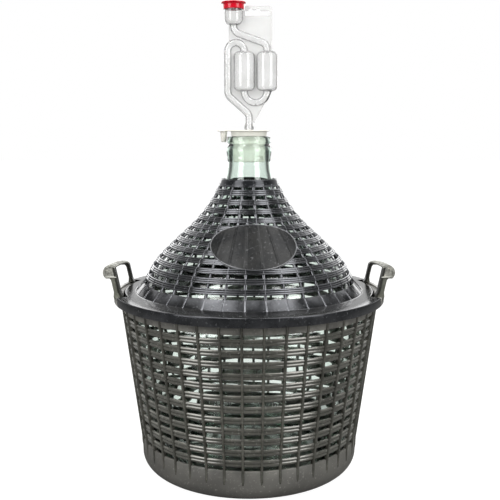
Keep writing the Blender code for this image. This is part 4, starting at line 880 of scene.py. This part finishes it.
half_lines = np.repeat([rim_line, notch_line], [len(open_turns), len(notch_turns)], axis=0)
all_turns = np.concatenate([half_turns, half_turns + math.pi])[:, None]
flange = surface(polar(np.concatenate([half_lines, half_lines]), all_turns), looped=True)
collar_profile = joined(
    tent(tent_length - COLLAR_OVERLAP),
    tent(tent_length),
    drawn([34.7, 350.0], [34.1, 351.8], [33.4, 352.5], [32.4, 352.5], [31.8, 351.8], [32.0, 349.0]),
    tent(tent_length, -COVER_WALL),
    tent(tent_length - COLLAR_OVERLAP, -COVER_WALL),
)
build("cover_rim", [flange, ring(collar_profile, ROUND)], looks["rim"], "cover", 30)

# %% [markdown]
# The oval plaque is bent to the tent. One parameter runs from its middle to its edge, the other
# round it. Its border is a thin raised line, lighter as a painted highlight, and low flutes continue
# the ribs under it.

# %% Plaque
PLAQUE_AT = 0.439
PLAQUE_TURN = math.radians(4.0)
PLAQUE_HALF_WIDTH = 0.052
PLAQUE_HALF_HEIGHT = 0.033
PLAQUE_RISE = 0.0007
PLAQUE_BACK = -0.0028
FLUTE_HEIGHT = 0.0004
BORDER_INSET = 0.0009
BORDER_HALF_WIDTH = 0.0007
BORDER_RISE = 0.0006


def on_oval(half_width, half_height, t):
    """Places on an oval round the plaque's middle, as length along the tent and turn about the axis.

    length = middle + half height sin t, turn = middle's turn + half width cos t / radius
    """
    along = tent_length * PLAQUE_AT + half_height * np.sin(t)
    return along, PLAQUE_TURN + half_width * np.cos(t) / tent(along)[..., 0]


def oval_plaque():
    """Ovals from the middle to the edge, raised 0.7 mm and by flutes of 0.4 mm cos^14, and a back."""
    share = np.concatenate([[0.01], np.linspace(0.08, 0.90, 50), [0.925, 0.94, 0.955, 0.97, 0.985, 1.0, 1.0]])
    raised = np.append(np.full(len(share) - 2, PLAQUE_RISE), [0.0005, -0.0004])
    share, raised = share[:, None], raised[:, None]
    along, turn = on_oval(share * PLAQUE_HALF_WIDTH, share * PLAQUE_HALF_HEIGHT, around(336))
    in_line = np.cos(2 * math.pi * (turn - COVER_RIB_TURN) / COVER_RIB_STEP)
    flutes = FLUTE_HEIGHT * np.clip(in_line, 0, 1) ** 14 * np.clip((0.93 - share) / 0.05, 0, 1)
    back = tent(along, np.full_like(along, PLAQUE_BACK))[::-1]
    return polar(np.concatenate([tent(along, raised + flutes), back]), np.concatenate([turn, turn[::-1]]))


def plaque_border():
    """Bead carried round the plaque's edge: an oval 0.7 mm along the tent and 0.6 mm out from it."""
    t = around(168)[:, None]
    a = around(10)
    inwards = BORDER_INSET + BORDER_HALF_WIDTH * np.cos(a)
    along, turn = on_oval(PLAQUE_HALF_WIDTH - inwards, PLAQUE_HALF_HEIGHT - inwards, t)
    return polar(tent(along, BORDER_RISE + BORDER_RISE * np.sin(a)), turn)


# The border's lighter plastic is a painted highlight on the raised line.
build("cover_plaque_border", [surface(plaque_border(), looped=True)], looks["border"], "cover", 50)
build("cover_plaque", [surface(oval_plaque())], looks["plaque"], "cover", 50)

# %% [markdown]
# ## The bottle
# A blown bottle is thick at the foot, thin in the body and never quite even. The outline is drawn
# once: straight body, shoulder, slope under the cover, neck, bulge and lip. The inside is the same
# line moved in by the wall, which is nearly twice as thick in the neck: that is what makes the two
# dark lines beside its bore.

# %% Bottle outline
GLASS_WALL = 0.0025
GLASS_GAP = 0.0010
SHOULDER_GAP = 0.0021
LIP_TOP_Z = 0.4026
GLASS_FOOT_Z = 0.0073
FOOT_ROUND = 0.022
FOOT_STEPS = 14
SHOULDER_PULL = 0.016
NECK_PULL = 0.0235
NECK_AT = 0.78
NECK_EXTRA_WALL = 0.0024
WAIST_RADIUS = 0.0258
BODY_TOP_Z = 0.190


def glass_radius(height):
    """Outside of the bottle's body: the basket's inside between two ribs, less a gap of 1 mm."""
    return (wall_radius(height) - BASKET_WALL) * math.cos(math.pi / BASKET_RIBS) - GLASS_GAP


bend_z = GLASS_FOOT_Z + FOOT_ROUND
foot_bend = arc((glass_radius(bend_z) - FOOT_ROUND, bend_z), FOOT_ROUND, -90, 0, FOOT_STEPS)
body_z = np.linspace(bend_z, BODY_TOP_Z, 40)[1:]
body = grid(glass_radius(body_z), body_z)
under_cover = -COVER_WALL - SHOULDER_GAP
shoulder_end = tent(0.0, under_cover)
shoulder_pull = shoulder_end - tent_way(0.012) * SHOULDER_PULL
shoulder = pulled_curve(body[-1], body[-1] + wall_way * SHOULDER_PULL, shoulder_pull, shoulder_end, 18)
neck_at = tent_length * NECK_AT
slope = tent(np.linspace(0, neck_at, 40)[1:], under_cover)
waist = np.array([WAIST_RADIUS, LIP_TOP_Z - 0.028])
slope_pull = slope[-1] + tent_way(neck_at) * NECK_PULL
neck = pulled_curve(slope[-1], slope_pull, waist - [0, NECK_PULL], waist, 26)
bulge_knots = drawn([26.3, 380.0], [27.0, 384.6], [27.1, 386.8], [26.4, 390.3], [24.9, 393.4])
bulge = smooth_line(joined(waist, bulge_knots), 5)
outer = joined(foot_bend, body, shoulder[1:], slope, neck[1:])
lip = joined(bulge[1:], drawn(
    [24.8, 394.0], [25.0, 394.7], [25.7, 395.2], [26.0, 396.0], [26.0, 401.2], [25.8, 401.9],
    [25.3, 402.4], [24.6, 402.6], [21.7, 402.6], [21.1, 402.3], [20.8, 401.6], [20.8, 386.0],
))
outer_way = np.gradient(outer, axis=0)
outer_way /= np.hypot(*outer_way.T)[:, None]
# The inside follows the outside from the top of the foot's bend.
above_bend = outer[FOOT_STEPS:]
wall_there = GLASS_WALL + NECK_EXTRA_WALL * np.clip((above_bend[:, 1:] - 0.290) / 0.050, 0, 1)
inner = above_bend - square_to(outer_way[FOOT_STEPS:]) * wall_there
print("bottle:", len(outer), "points up the outside, neck", round(2000 * float(waist[0]), 1), "mm wide")

# %% [markdown]
# Small waves that differ inside and outside bend the light as old glass does. They are sums of
# sines of turn and height, which join up round the bottle, and they fade out at the foot and the
# neck.

# %% Bottle surface
GLASS_ROUND = 192
OUTER_WAVE = 0.00035
INNER_WAVE = 0.0006


def waves(place, turn, size, phase):
    """Ripple of the glass: size (sin(3t + 45z) + sin(5t - 83z) + sin(2t + 150z)) / 3, only on the body."""
    z = place[:, None, 1]
    ripple = np.sin(3 * turn + 45 * z + phase) + np.sin(5 * turn - 83 * z + 2 * phase)
    ripple = ripple + np.sin(2 * turn + 150 * z)
    on_body = np.clip((z - 0.02) / 0.02, 0, 1) * np.clip((0.345 - z) / 0.05, 0, 1)
    return size * ripple / 3 * on_body


turns = around(GLASS_ROUND)
punt = pulled_curve((0.02, 0.0150), (0.06, 0.0145), (0.084, 0.0100), (0.0923, 0.0075), 12)
floor_inside = pulled_curve((0.1088, 0.0200), (0.1028, 0.0145), (0.09, 0.0125), (0.07, 0.0170), 10)
outside = joined([0.001, 0.0153], punt, [0.0948, GLASS_FOOT_Z], outer)
inside = joined(inner[::-1], floor_inside, [0.03, 0.0200], [0.001, 0.0203])
drawn_in = OUTER_WAVE * (outside[:, None, 1] > 0.04)
outside_r = outside[:, None, 0] + waves(outside, turns, -OUTER_WAVE, 0.4) - drawn_in
inside_r = inside[:, None, 0] + waves(inside, turns, INNER_WAVE, 2.1)
bottle_r = np.concatenate([outside_r, np.tile(lip[:, :1], GLASS_ROUND), inside_r])
bottle_z = np.concatenate([outside, lip, inside])[:, 1:]
bottle = surface(polar(grid(bottle_r, bottle_z), turns))
build("glass_bottle_blown", [bottle], glass_look, "bottle", 60)

# %% [markdown]
# ## Bung and spare plug
# The bung is a rubber stopper: a tapered plug in the neck, a short body on the lip and a thin
# flange. On its edge hangs a small plug on a strap, which closes the bung's bore when the airlock
# is off. Both are turned shapes with soft edges.

# %% Bung
bung_profile = drawn(
    [6.2, 7.3], [6.6, 7.7], [23.8, 7.7], [24.3, 7.4], [24.4, 6.9], [24.3, 6.4], [23.8, 6.1], [21.9, 5.9],
    [21.5, 5.3], [21.1, 0.8], [20.8, 0.3], [20.2, 0.1], [20.2, -1.2], [18.9, -28.5], [18.5, -29.6],
    [17.6, -30.0], [5.6, -30.0], [5.3, -29.0], above=LIP_TOP_Z,
)
build("rubber_bung", [ring(bung_profile, 96)], rubber_look, "bung", 50)

# %% Spare plug and strap
BUNG_TOP_Z = LIP_TOP_Z + 0.0077
SPARE_X = -0.0315
SPARE_PLUG_X = -0.0303
HINGE_X = -0.02485


def moved(profile, steps, x):
    """A turned shape with its axis moved along X."""
    flat, groups = dish(profile, steps)
    return flat + [x, 0, 0], groups


spare_flange = drawn([0.2, -1.8], [6.0, -1.8], [6.4, -1.4], [6.4, -0.4], [6.0, 0], [0.2, 0], above=BUNG_TOP_Z)
spare_plug = drawn(
    [0.2, -14.3], [2.6, -14.3], [3.2, -13.6], [4.1, -3.0], [4.2, -1.0], [0.2, -0.9], above=BUNG_TOP_Z,
)
strap_section = drawn(
    [-3.25, -0.6], [-2.9, -0.3], [2.9, -0.3], [3.25, -0.6], [3.25, -1.2], [2.9, -1.5], [-2.9, -1.5],
    [-3.25, -1.2], above=BUNG_TOP_Z,
)
strap = grid(np.linspace(SPARE_X, HINGE_X, 9)[:, None], *strap_section.T)
spare = [moved(spare_flange, 48, SPARE_X), moved(spare_plug, 40, SPARE_PLUG_X), surface(strap)]
build("spare_rubber_plug", spare, rubber_look, "spare_plug", 50)

# %% [markdown]
# ## The airlock
# Gas leaves through this bent tube and bubbles through water in its two chambers. It is one line
# of straight runs and arcs, with a radius that changes along it: stem, tube, chamber, tube, chamber,
# tube and cup. Sweeping a circle whose size follows that radius makes the outside, and the same
# sweep with the wall taken off makes the inside. Both ends are open, so the two join there.

# %% Sizes of the airlock
TUBE = 0.0044
TUBE_WALL = 0.0011
CHAMBER = 0.0127
CHAMBER_TOP = 0.5022
CHAMBER_FOOT = 0.4560
CHAMBER_ROUND = 0.0062
CHAMBER_WALL = 0.0012
MOUTH_STEP = 0.0003
STEM_Z = 0.3843
LEFT_X = -0.0056
RIGHT_X = 0.0214
DOWN_X = -0.0252
BEND = 0.0095
LEFT_BEND = (LEFT_X - DOWN_X) / 2
RIGHT_BEND = (RIGHT_X - LEFT_X) / 2
CUP_X = -0.0180
CUP_TOP = 0.5565
CUP_RADIUS = 0.0110
CUP_ROUND = 0.0065
CUP_FOOT = 0.5325
UP = math.pi / 2

upper_z = CHAMBER_TOP + LEFT_BEND
lower_z = CHAMBER_FOOT - RIGHT_BEND
TUBE_CORNERS = [
    (0, STEM_Z), (0, 0.4290), (DOWN_X, 0.4515), (DOWN_X, upper_z), (LEFT_X, upper_z), (LEFT_X, lower_z),
    (RIGHT_X, lower_z), (RIGHT_X, 0.5106), (CUP_X, 0.5243), (CUP_X, CUP_TOP),
]
BEND_STEPS = 14
TUBE_ROUND = 48
TUBE_BENDS = [BEND, BEND, LEFT_BEND, LEFT_BEND, RIGHT_BEND, RIGHT_BEND, BEND, BEND]
print("tube:", len(TUBE_BENDS), "bends, chambers", round(1000 * (CHAMBER_TOP - CHAMBER_FOOT), 1), "mm high")

# %% The tube's line
def bend(before, corner, after, radius, steps):
    """Arc of a radius round a corner of the line, as rows of x, z and direction."""
    start = math.atan2(corner[1] - before[1], corner[0] - before[0])
    change = math.atan2(after[1] - corner[1], after[0] - corner[0]) - start
    change = (change + math.pi) % (2 * math.pi) - math.pi
    side = math.copysign(1.0, change)
    run = radius * math.tan(abs(change) / 2)
    middle_x = corner[0] - run * math.cos(start) - side * radius * math.sin(start)
    middle_z = corner[1] - run * math.sin(start) + side * radius * math.cos(start)
    turn = start + change * np.linspace(0, 1, steps + 1)
    return grid(middle_x + side * radius * np.sin(turn), middle_z - side * radius * np.cos(turn), turn)


def chamber(x, inner, way):
    """Rows of x, z, direction and radius of a chamber with rounded shoulders, downward or upward."""
    wall = CHAMBER_WALL * inner
    round_middle = (CHAMBER - CHAMBER_ROUND, CHAMBER_TOP - CHAMBER_ROUND)
    mouth = [TUBE - TUBE_WALL, CHAMBER_TOP - wall + 0.0001] if inner else [TUBE, CHAMBER_TOP + MOUTH_STEP]
    half = joined(mouth, arc(round_middle, CHAMBER_ROUND - wall, 90, 0, 12))
    other_half = half * [1, -1] + [0, CHAMBER_TOP + CHAMBER_FOOT]
    levels = joined(half, other_half[::-1])[::-way]
    return grid(x, levels[:, 1], way * UP, levels[:, 0])


def stem(inner):
    """Rows of the stem: a taper for the bung's bore with a collar, and inside only its mouth."""
    if inner:
        levels = np.array([[TUBE - TUBE_WALL, STEM_Z]])
    else:
        levels = drawn(
            [4.4, 384.3], [4.6, 384.6], [5.7, 410.3], [5.7, 413.8], [5.5, 415.2], [4.9, 416.8], [4.4, 418.5],
            [4.4, 420.0],
        )
    return grid(0, levels[:, 1], UP, levels[:, 0])


def cup(inner):
    """Rows of the open cup with a round foot."""
    wall = TUBE_WALL * inner
    foot = arc((CUP_RADIUS - CUP_ROUND, CUP_FOOT + CUP_ROUND), CUP_ROUND - wall, -90, 0, 12)
    mouth = [TUBE - wall, CUP_FOOT - MOUTH_STEP + wall]
    levels = joined(mouth, foot, [CUP_RADIUS - wall, CUP_TOP - 0.0002])
    return grid(CUP_X, levels[:, 1], UP, levels[:, 0])


def stations(inner):
    """The whole airlock from the stem's tip to the cup's brim: outside where inner is 0, inside where 1."""
    rows = [stem(inner)]
    for number, radius in enumerate(TUBE_BENDS):
        line = bend(*TUBE_CORNERS[number : number + 3], radius, BEND_STEPS)
        rows.append(grid(*line.T, TUBE - TUBE_WALL * inner))
        if number == 3:
            rows.append(chamber(LEFT_X, inner, -1))
        if number == 5:
            rows.append(chamber(RIGHT_X, inner, 1))
    return np.concatenate([*rows, cup(inner)])


def swept(rows, steps):
    """Circle of each row's radius square to its direction: x + r cos a sin t, r sin a, z - r cos a cos t."""
    a = around(steps)
    x, z, turn, radius = rows.T[..., None]
    across = radius * np.cos(a)
    return grid(x + across * np.sin(turn), radius * np.sin(a), z - across * np.cos(turn))


outside_rows = stations(0)
tube_points = np.concatenate([swept(outside_rows, TUBE_ROUND), swept(stations(1), TUBE_ROUND)[::-1]])
build("airlock_tube", [surface(tube_points, looped=True)], airlock_look, "airlock", 70)

# %% [markdown]
# A thin plate joins the tubes and ends in a slot for a hook. Cutting the whole tube out of one
# plate by a Boolean fails where the line passes close to itself. So the plate is drawn as three
# flat pieces instead, whose borders are the tube's own two sides: centre plus or minus the radius,
# square to the line. Only the slot is cut, which is a simple shape. Rows where a chamber's mouth
# steps back on the line are left out, because a border may not turn back on itself.

# %% Sides of the tube
PLATE_LEFT = -0.0238
PLATE_RIGHT = 0.0272
PLATE_HALF = 0.0009
OVERLAP = 0.0003

row_z = outside_rows[:, 1]
steps_back = np.isclose(row_z, CHAMBER_TOP + MOUTH_STEP) | np.isclose(row_z, CHAMBER_FOOT - MOUTH_STEP)
side_rows = outside_rows[~steps_back] - [0, 0, 0, OVERLAP]
line_x, line_z, line_turn = side_rows[:, :3].T
to_left = side_rows[:, 3:] * grid(-np.sin(line_turn), np.cos(line_turn))
left_side = side_rows[:, :2] + to_left
right_side = side_rows[:, :2] - to_left
count = np.arange(len(side_rows))
# Rows where the line is highest in its left bend and lowest in its right one.
at_top = int(np.argmax(np.where(line_x < LEFT_X - 0.004, line_z * (line_z < 0.52), 0)))
at_low = int(np.argmin(np.where(count > at_top, line_z, 1)))
print("tube:", len(side_rows), "rows, top bend at row", at_top, "and low bend at row", at_low)

# %% Three pieces of plate
PLATE_FOOT_Z = 0.4185


def first_row(where):
    """Number of the first row for which all is true."""
    return int(np.argmax(where))


# Right of the tube, from the stem round the left loop to the plate's right edge.
first = first_row(right_side[:, 1] > PLATE_FOOT_Z)
last = first_row((count > at_low) & (right_side[:, 0] > PLATE_RIGHT))
under = joined(
    right_side[first:last], [PLATE_RIGHT, right_side[last, 1]], [PLATE_RIGHT, 0.4585], [0.0062, PLATE_FOOT_Z],
)
# Left of the tube, from the top bend down and up again to the plate's left edge.
first = first_row((count > at_top - 12) & (left_side[:, 0] > PLATE_LEFT))
last = first_row((count > at_low + 30) & (left_side[:, 1] > 0.52) & (left_side[:, 0] < PLATE_LEFT))
between = joined(left_side[first:last], [PLATE_LEFT, left_side[last, 1]], [PLATE_LEFT, left_side[first, 1]])
# Right of the tube again, from the right chamber to the cup, and from there round the plate's top.
first = first_row((count > at_low + 20) & (line_z > 0.49) & (right_side[:, 0] < PLATE_RIGHT))
last = first_row((count > first) & (right_side[:, 1] > 0.5485))
above = joined(
    [PLATE_RIGHT, right_side[first - 1, 1]], right_side[first:last], [right_side[last - 1, 0], 0.5490],
    drawn([-4.6, 549.0], [-4.6, 553.3], [-4.0, 554.0]), arc((0.0232, 0.5500), 0.0040, 90, 0, 8),
)
print("plate pieces:", len(under), len(between), len(above), "points round")

# %% The slot's outline
SLOT_LEFT = -0.0036
SLOT_RIGHT = 0.0231
SLOT_LOW = 0.5437
SLOT_HIGH = 0.5471
SLOT_ROUND = 0.0012
SCALLOP = 0.0027
SCALLOP_Z = 0.5483
slot_outline = joined(
    arc((SLOT_LEFT, SLOT_LOW), SLOT_ROUND, 180, 270, 4),
    arc((SLOT_RIGHT, SLOT_LOW), SLOT_ROUND, 270, 360, 4),
    arc((SLOT_RIGHT, SLOT_HIGH), SLOT_ROUND, 0, 90, 4),
    [0.0105 + SCALLOP, SCALLOP_Z],
    arc((0.0105, SCALLOP_Z), SCALLOP, 0, 130, 7),
    [0.0061, 0.5490],
    arc((0.0019, SCALLOP_Z), SCALLOP, 50, 180, 7),
    [SLOT_LEFT, SCALLOP_Z],
    arc((SLOT_LEFT, SLOT_HIGH), SLOT_ROUND, 90, 180, 3)[1:],
)
print("slot:", round(1000 * (SLOT_RIGHT - SLOT_LEFT + 2 * SLOT_ROUND), 1), "mm wide")

# %% Plate and its slot
def prism(outline, half):
    """An outline of x and z drawn out from -half to half along Y."""
    return surface(grid(outline[:, 0], [[-half], [half]], outline[:, 1]))


def plate_piece(name, outline):
    """One flat piece of the plate, 0.9 mm thick to each side of the tube's middle."""
    return build(name, [prism(outline, PLATE_HALF)], plate_look, "airlock", 40)


plate_piece("airlock_plate_low", under)
plate_piece("airlock_plate_middle", between)
plate = plate_piece("airlock_plate_top", above)
flat, groups = prism(slot_outline, 0.003)
cutter_mesh = bpy.data.meshes.new("slot_cutter")
cutter_mesh.from_pydata(flat, [], [face for group in groups for face in group.tolist()])
cutter = bpy.data.objects.new("slot_cutter", cutter_mesh)
bpy.context.scene.collection.objects.link(cutter)
step = plate.modifiers.new("slot", "BOOLEAN")
step.object = cutter
step.operation = "DIFFERENCE"
step.solver = "EXACT"
graph = bpy.context.evaluated_depsgraph_get()
cut_mesh = bpy.data.meshes.new_from_object(plate.evaluated_get(graph))
plate.modifiers.clear()
plate.data = cut_mesh
bpy.data.objects.remove(cutter)
print("plate:", len(plate.data.polygons), "faces after cutting")

# %% [markdown]
# The red cap is pushed over the cup: a low dome with a flange and a skirt. Its wall is thin, and
# light comes through at its foot.

# %% Cap
CAP_GAP = 0.0003
CAP_WALL = 0.0014

cap_top = CUP_TOP + CAP_GAP + CAP_WALL
cap_profile = drawn(
    [0.2, 0.8], [6.0, 0.7], [11.0, 0.3], [14.1, 0], [14.5, -0.4], [14.6, -0.8], [14.4, -1.2], [13.2, -1.5],
    [12.5, -2.2], [12.3, -4.0], [12.2, -7.6], [12.0, -8.0], [11.6, -8.0], [11.5, -7.6], [11.2, -1.6],
    [0.2, -1.5], above=cap_top,
)
build("airlock_push_cap", [moved(cap_profile, 72, CUP_X)], cap_look, "cap", 45)

# %% [markdown]
# ## Floor, light and camera
# The photograph has a white ground. To the camera the floor glows enough to end white and still
# keep the shadow. Rays through glass find white only near the Y axis, behind the object and in
# front of it, and rays off gloss only behind it. Elsewhere they find a dark studio. That is what
# gives thick glass its dark edges, and black plastic its dark front and bright sides.

# %% Floor
FLOOR_Z = -0.0002
WHITE = (1, 1, 1, 1)


def flat_floor():
    """Seen straight, floor and glow add up to white. Seen through glass, it glows only behind the basket.

    There y / distance from the basket's foot is over 0.80, and the glow is full from 0.93 on.
    """
    finish = Finish("pale_floor")
    tone = finish.mix(finish.clouds(3.0, 4.0, 0.3, 0.7), colour("#6f6f6e"), colour("#787877"))
    rays = finish.add("ShaderNodeLightPath").outputs
    straight = finish.add("ShaderNodeVectorMath", {0: finish.place}, operation="NORMALIZE").outputs[0]
    behind = finish.between(finish.add("ShaderNodeSeparateXYZ", {0: straight}).outputs["Y"], 0.80, 0.93)
    in_glass = rays["Is Transmission Ray"]
    shown = finish.blend(in_glass, rays["Is Camera Ray"], behind)
    base = finish.mix(in_glass, tone, colour("#2e2e2e"))
    finish.shade(Base_Color=base, Roughness=0.9, Specular_IOR_Level=0.1)
    glow = finish.add("ShaderNodeEmission", {"Color": WHITE, "Strength": finish.times(shown, 0.93)})
    both = finish.add("ShaderNodeAddShader", {0: finish.shader.outputs[0], 1: glow.outputs[0]})
    finish.tree.links.new(both.outputs[0], finish.tree.nodes["Material Output"].inputs["Surface"])
    return finish.look


floor_corners = [(-6, -4, FLOOR_Z), (6, -4, FLOOR_Z), (6, 12, FLOOR_Z), (-6, 12, FLOOR_Z)]
floor_mesh = bpy.data.meshes.new("floor")
floor_mesh.from_pydata(floor_corners, [], [(0, 1, 2, 3)])
floor_mesh.materials.append(flat_floor())
floor = bpy.data.objects.new("floor", floor_mesh)
bpy.context.scene.collection.objects.link(floor)
print("floor:", floor_mesh.materials[0].name)

# %% World
world = bpy.data.worlds.new("studio")
bpy.context.scene.world = world
studio = Finish("studio", world)
rays = studio.add("ShaderNodeLightPath").outputs
way = studio.add("ShaderNodeTexCoord").outputs["Generated"]
ways = studio.add("ShaderNodeSeparateXYZ", {0: way}).outputs
# Off gloss: from 0.08 in front to 1 behind, and less overhead.
lit_behind = studio.between(ways["Y"], -0.1, 0.60, 0.08, 1.0)
in_gloss = studio.times(lit_behind, studio.between(ways["Z"], 0.3, 0.9, 1.0, 0.45))
# Through glass: 0.05 beside the object, 1 near the Y axis.
along_y = studio.add("ShaderNodeMath", {0: ways["Y"]}, operation="ABSOLUTE").outputs[0]
through_glass = studio.between(along_y, 0.86, 0.96, 0.05, 1.0)
strength = studio.blend(rays["Is Transmission Ray"], in_gloss, through_glass)
# After a diffuse bounce: 0.54, or 2 where the light came in through glass. Seen straight: 1.
after_diffuse = studio.between(rays["Diffuse Depth"], 0.0, 1.0)
strength = studio.blend(after_diffuse, strength, studio.blend(rays["Is Transmission Ray"], 0.54, 2.00))
strength = studio.blend(rays["Is Camera Ray"], strength, 1.0)
back = world.node_tree.nodes["Background"]
studio.feed(back.inputs["Color"], WHITE)
studio.feed(back.inputs["Strength"], strength)
print("world:", world.name, "with", len(world.node_tree.nodes), "nodes")

# %% [markdown]
# Two tall soft boxes beside the camera make the long streaks on the ridges, two smaller ones above
# light the tent, and two behind the object edge the basket with light. Those two don't show
# themselves, nor shine through glass.

# %% Lamps
def soft_box(name, place, aim, size, power, seen):
    """A square lamp that faces a point, turned by acos(height / distance) and by its place's bearing."""
    lamp = bpy.data.lights.new(name, "AREA")
    lamp.shape = "RECTANGLE"
    lamp.size, lamp.size_y = size
    lamp.energy = power
    made = bpy.data.objects.new(name, lamp)
    bpy.context.scene.collection.objects.link(made)
    made.visible_camera = seen
    made.visible_transmission = seen
    away = np.array(place) - np.array(aim)
    tilt = math.acos(away[2] / np.linalg.norm(away))
    made.location = place
    made.rotation_euler = (tilt, 0.0, math.atan2(away[1], away[0]) + math.pi / 2)


# Each row: place, the point it faces, width and height, watts, and whether it shows itself.
SOFT_BOXES = {
    "left_box": ((-0.83, -0.80, 0.86), (0, 0, 0.45), (0.62, 1.66), 18.0, True),
    "right_box": ((0.83, -0.80, 0.86), (0, 0, 0.45), (0.62, 1.66), 18.0, True),
    "left_top_box": ((-0.38, -0.36, 1.42), (-0.05, -0.05, 0.2), (0.55, 0.50), 6.0, True),
    "right_top_box": ((0.50, -0.18, 1.40), (0.05, -0.05, 0.2), (0.85, 0.50), 6.2, True),
    "left_rim_box": ((-0.68, 1.50, 0.70), (0, 0, 0.25), (0.55, 0.9), 3.2, False),
    "right_rim_box": ((0.68, 1.50, 0.70), (0, 0, 0.25), (0.55, 0.9), 3.2, False),
}
for name, values in SOFT_BOXES.items():
    soft_box(name, *values)
print("lamps:", len(SOFT_BOXES), "soft boxes")

# %% [markdown]
# The camera repeats the photograph's: its height, tilt and lens were fitted to the ellipses of the
# rim and the base.

# %% Camera
CAMERA_PLACE = (0.0012, -0.9536, 0.4032)
CAMERA_TILT = math.radians(81.76)
LENS_MM = 56.69
SENSOR_MM = 36.0

lens = bpy.data.cameras.new("camera")
lens.sensor_width = SENSOR_MM
lens.lens = LENS_MM
camera = bpy.data.objects.new("camera", lens)
bpy.context.scene.collection.objects.link(camera)
camera.location = CAMERA_PLACE
camera.rotation_euler = (CAMERA_TILT, 0.0, 0.0)
bpy.context.scene.camera = camera
bpy.context.scene.view_settings.view_transform = "Standard"
print("camera:", LENS_MM, "mm at", CAMERA_PLACE)
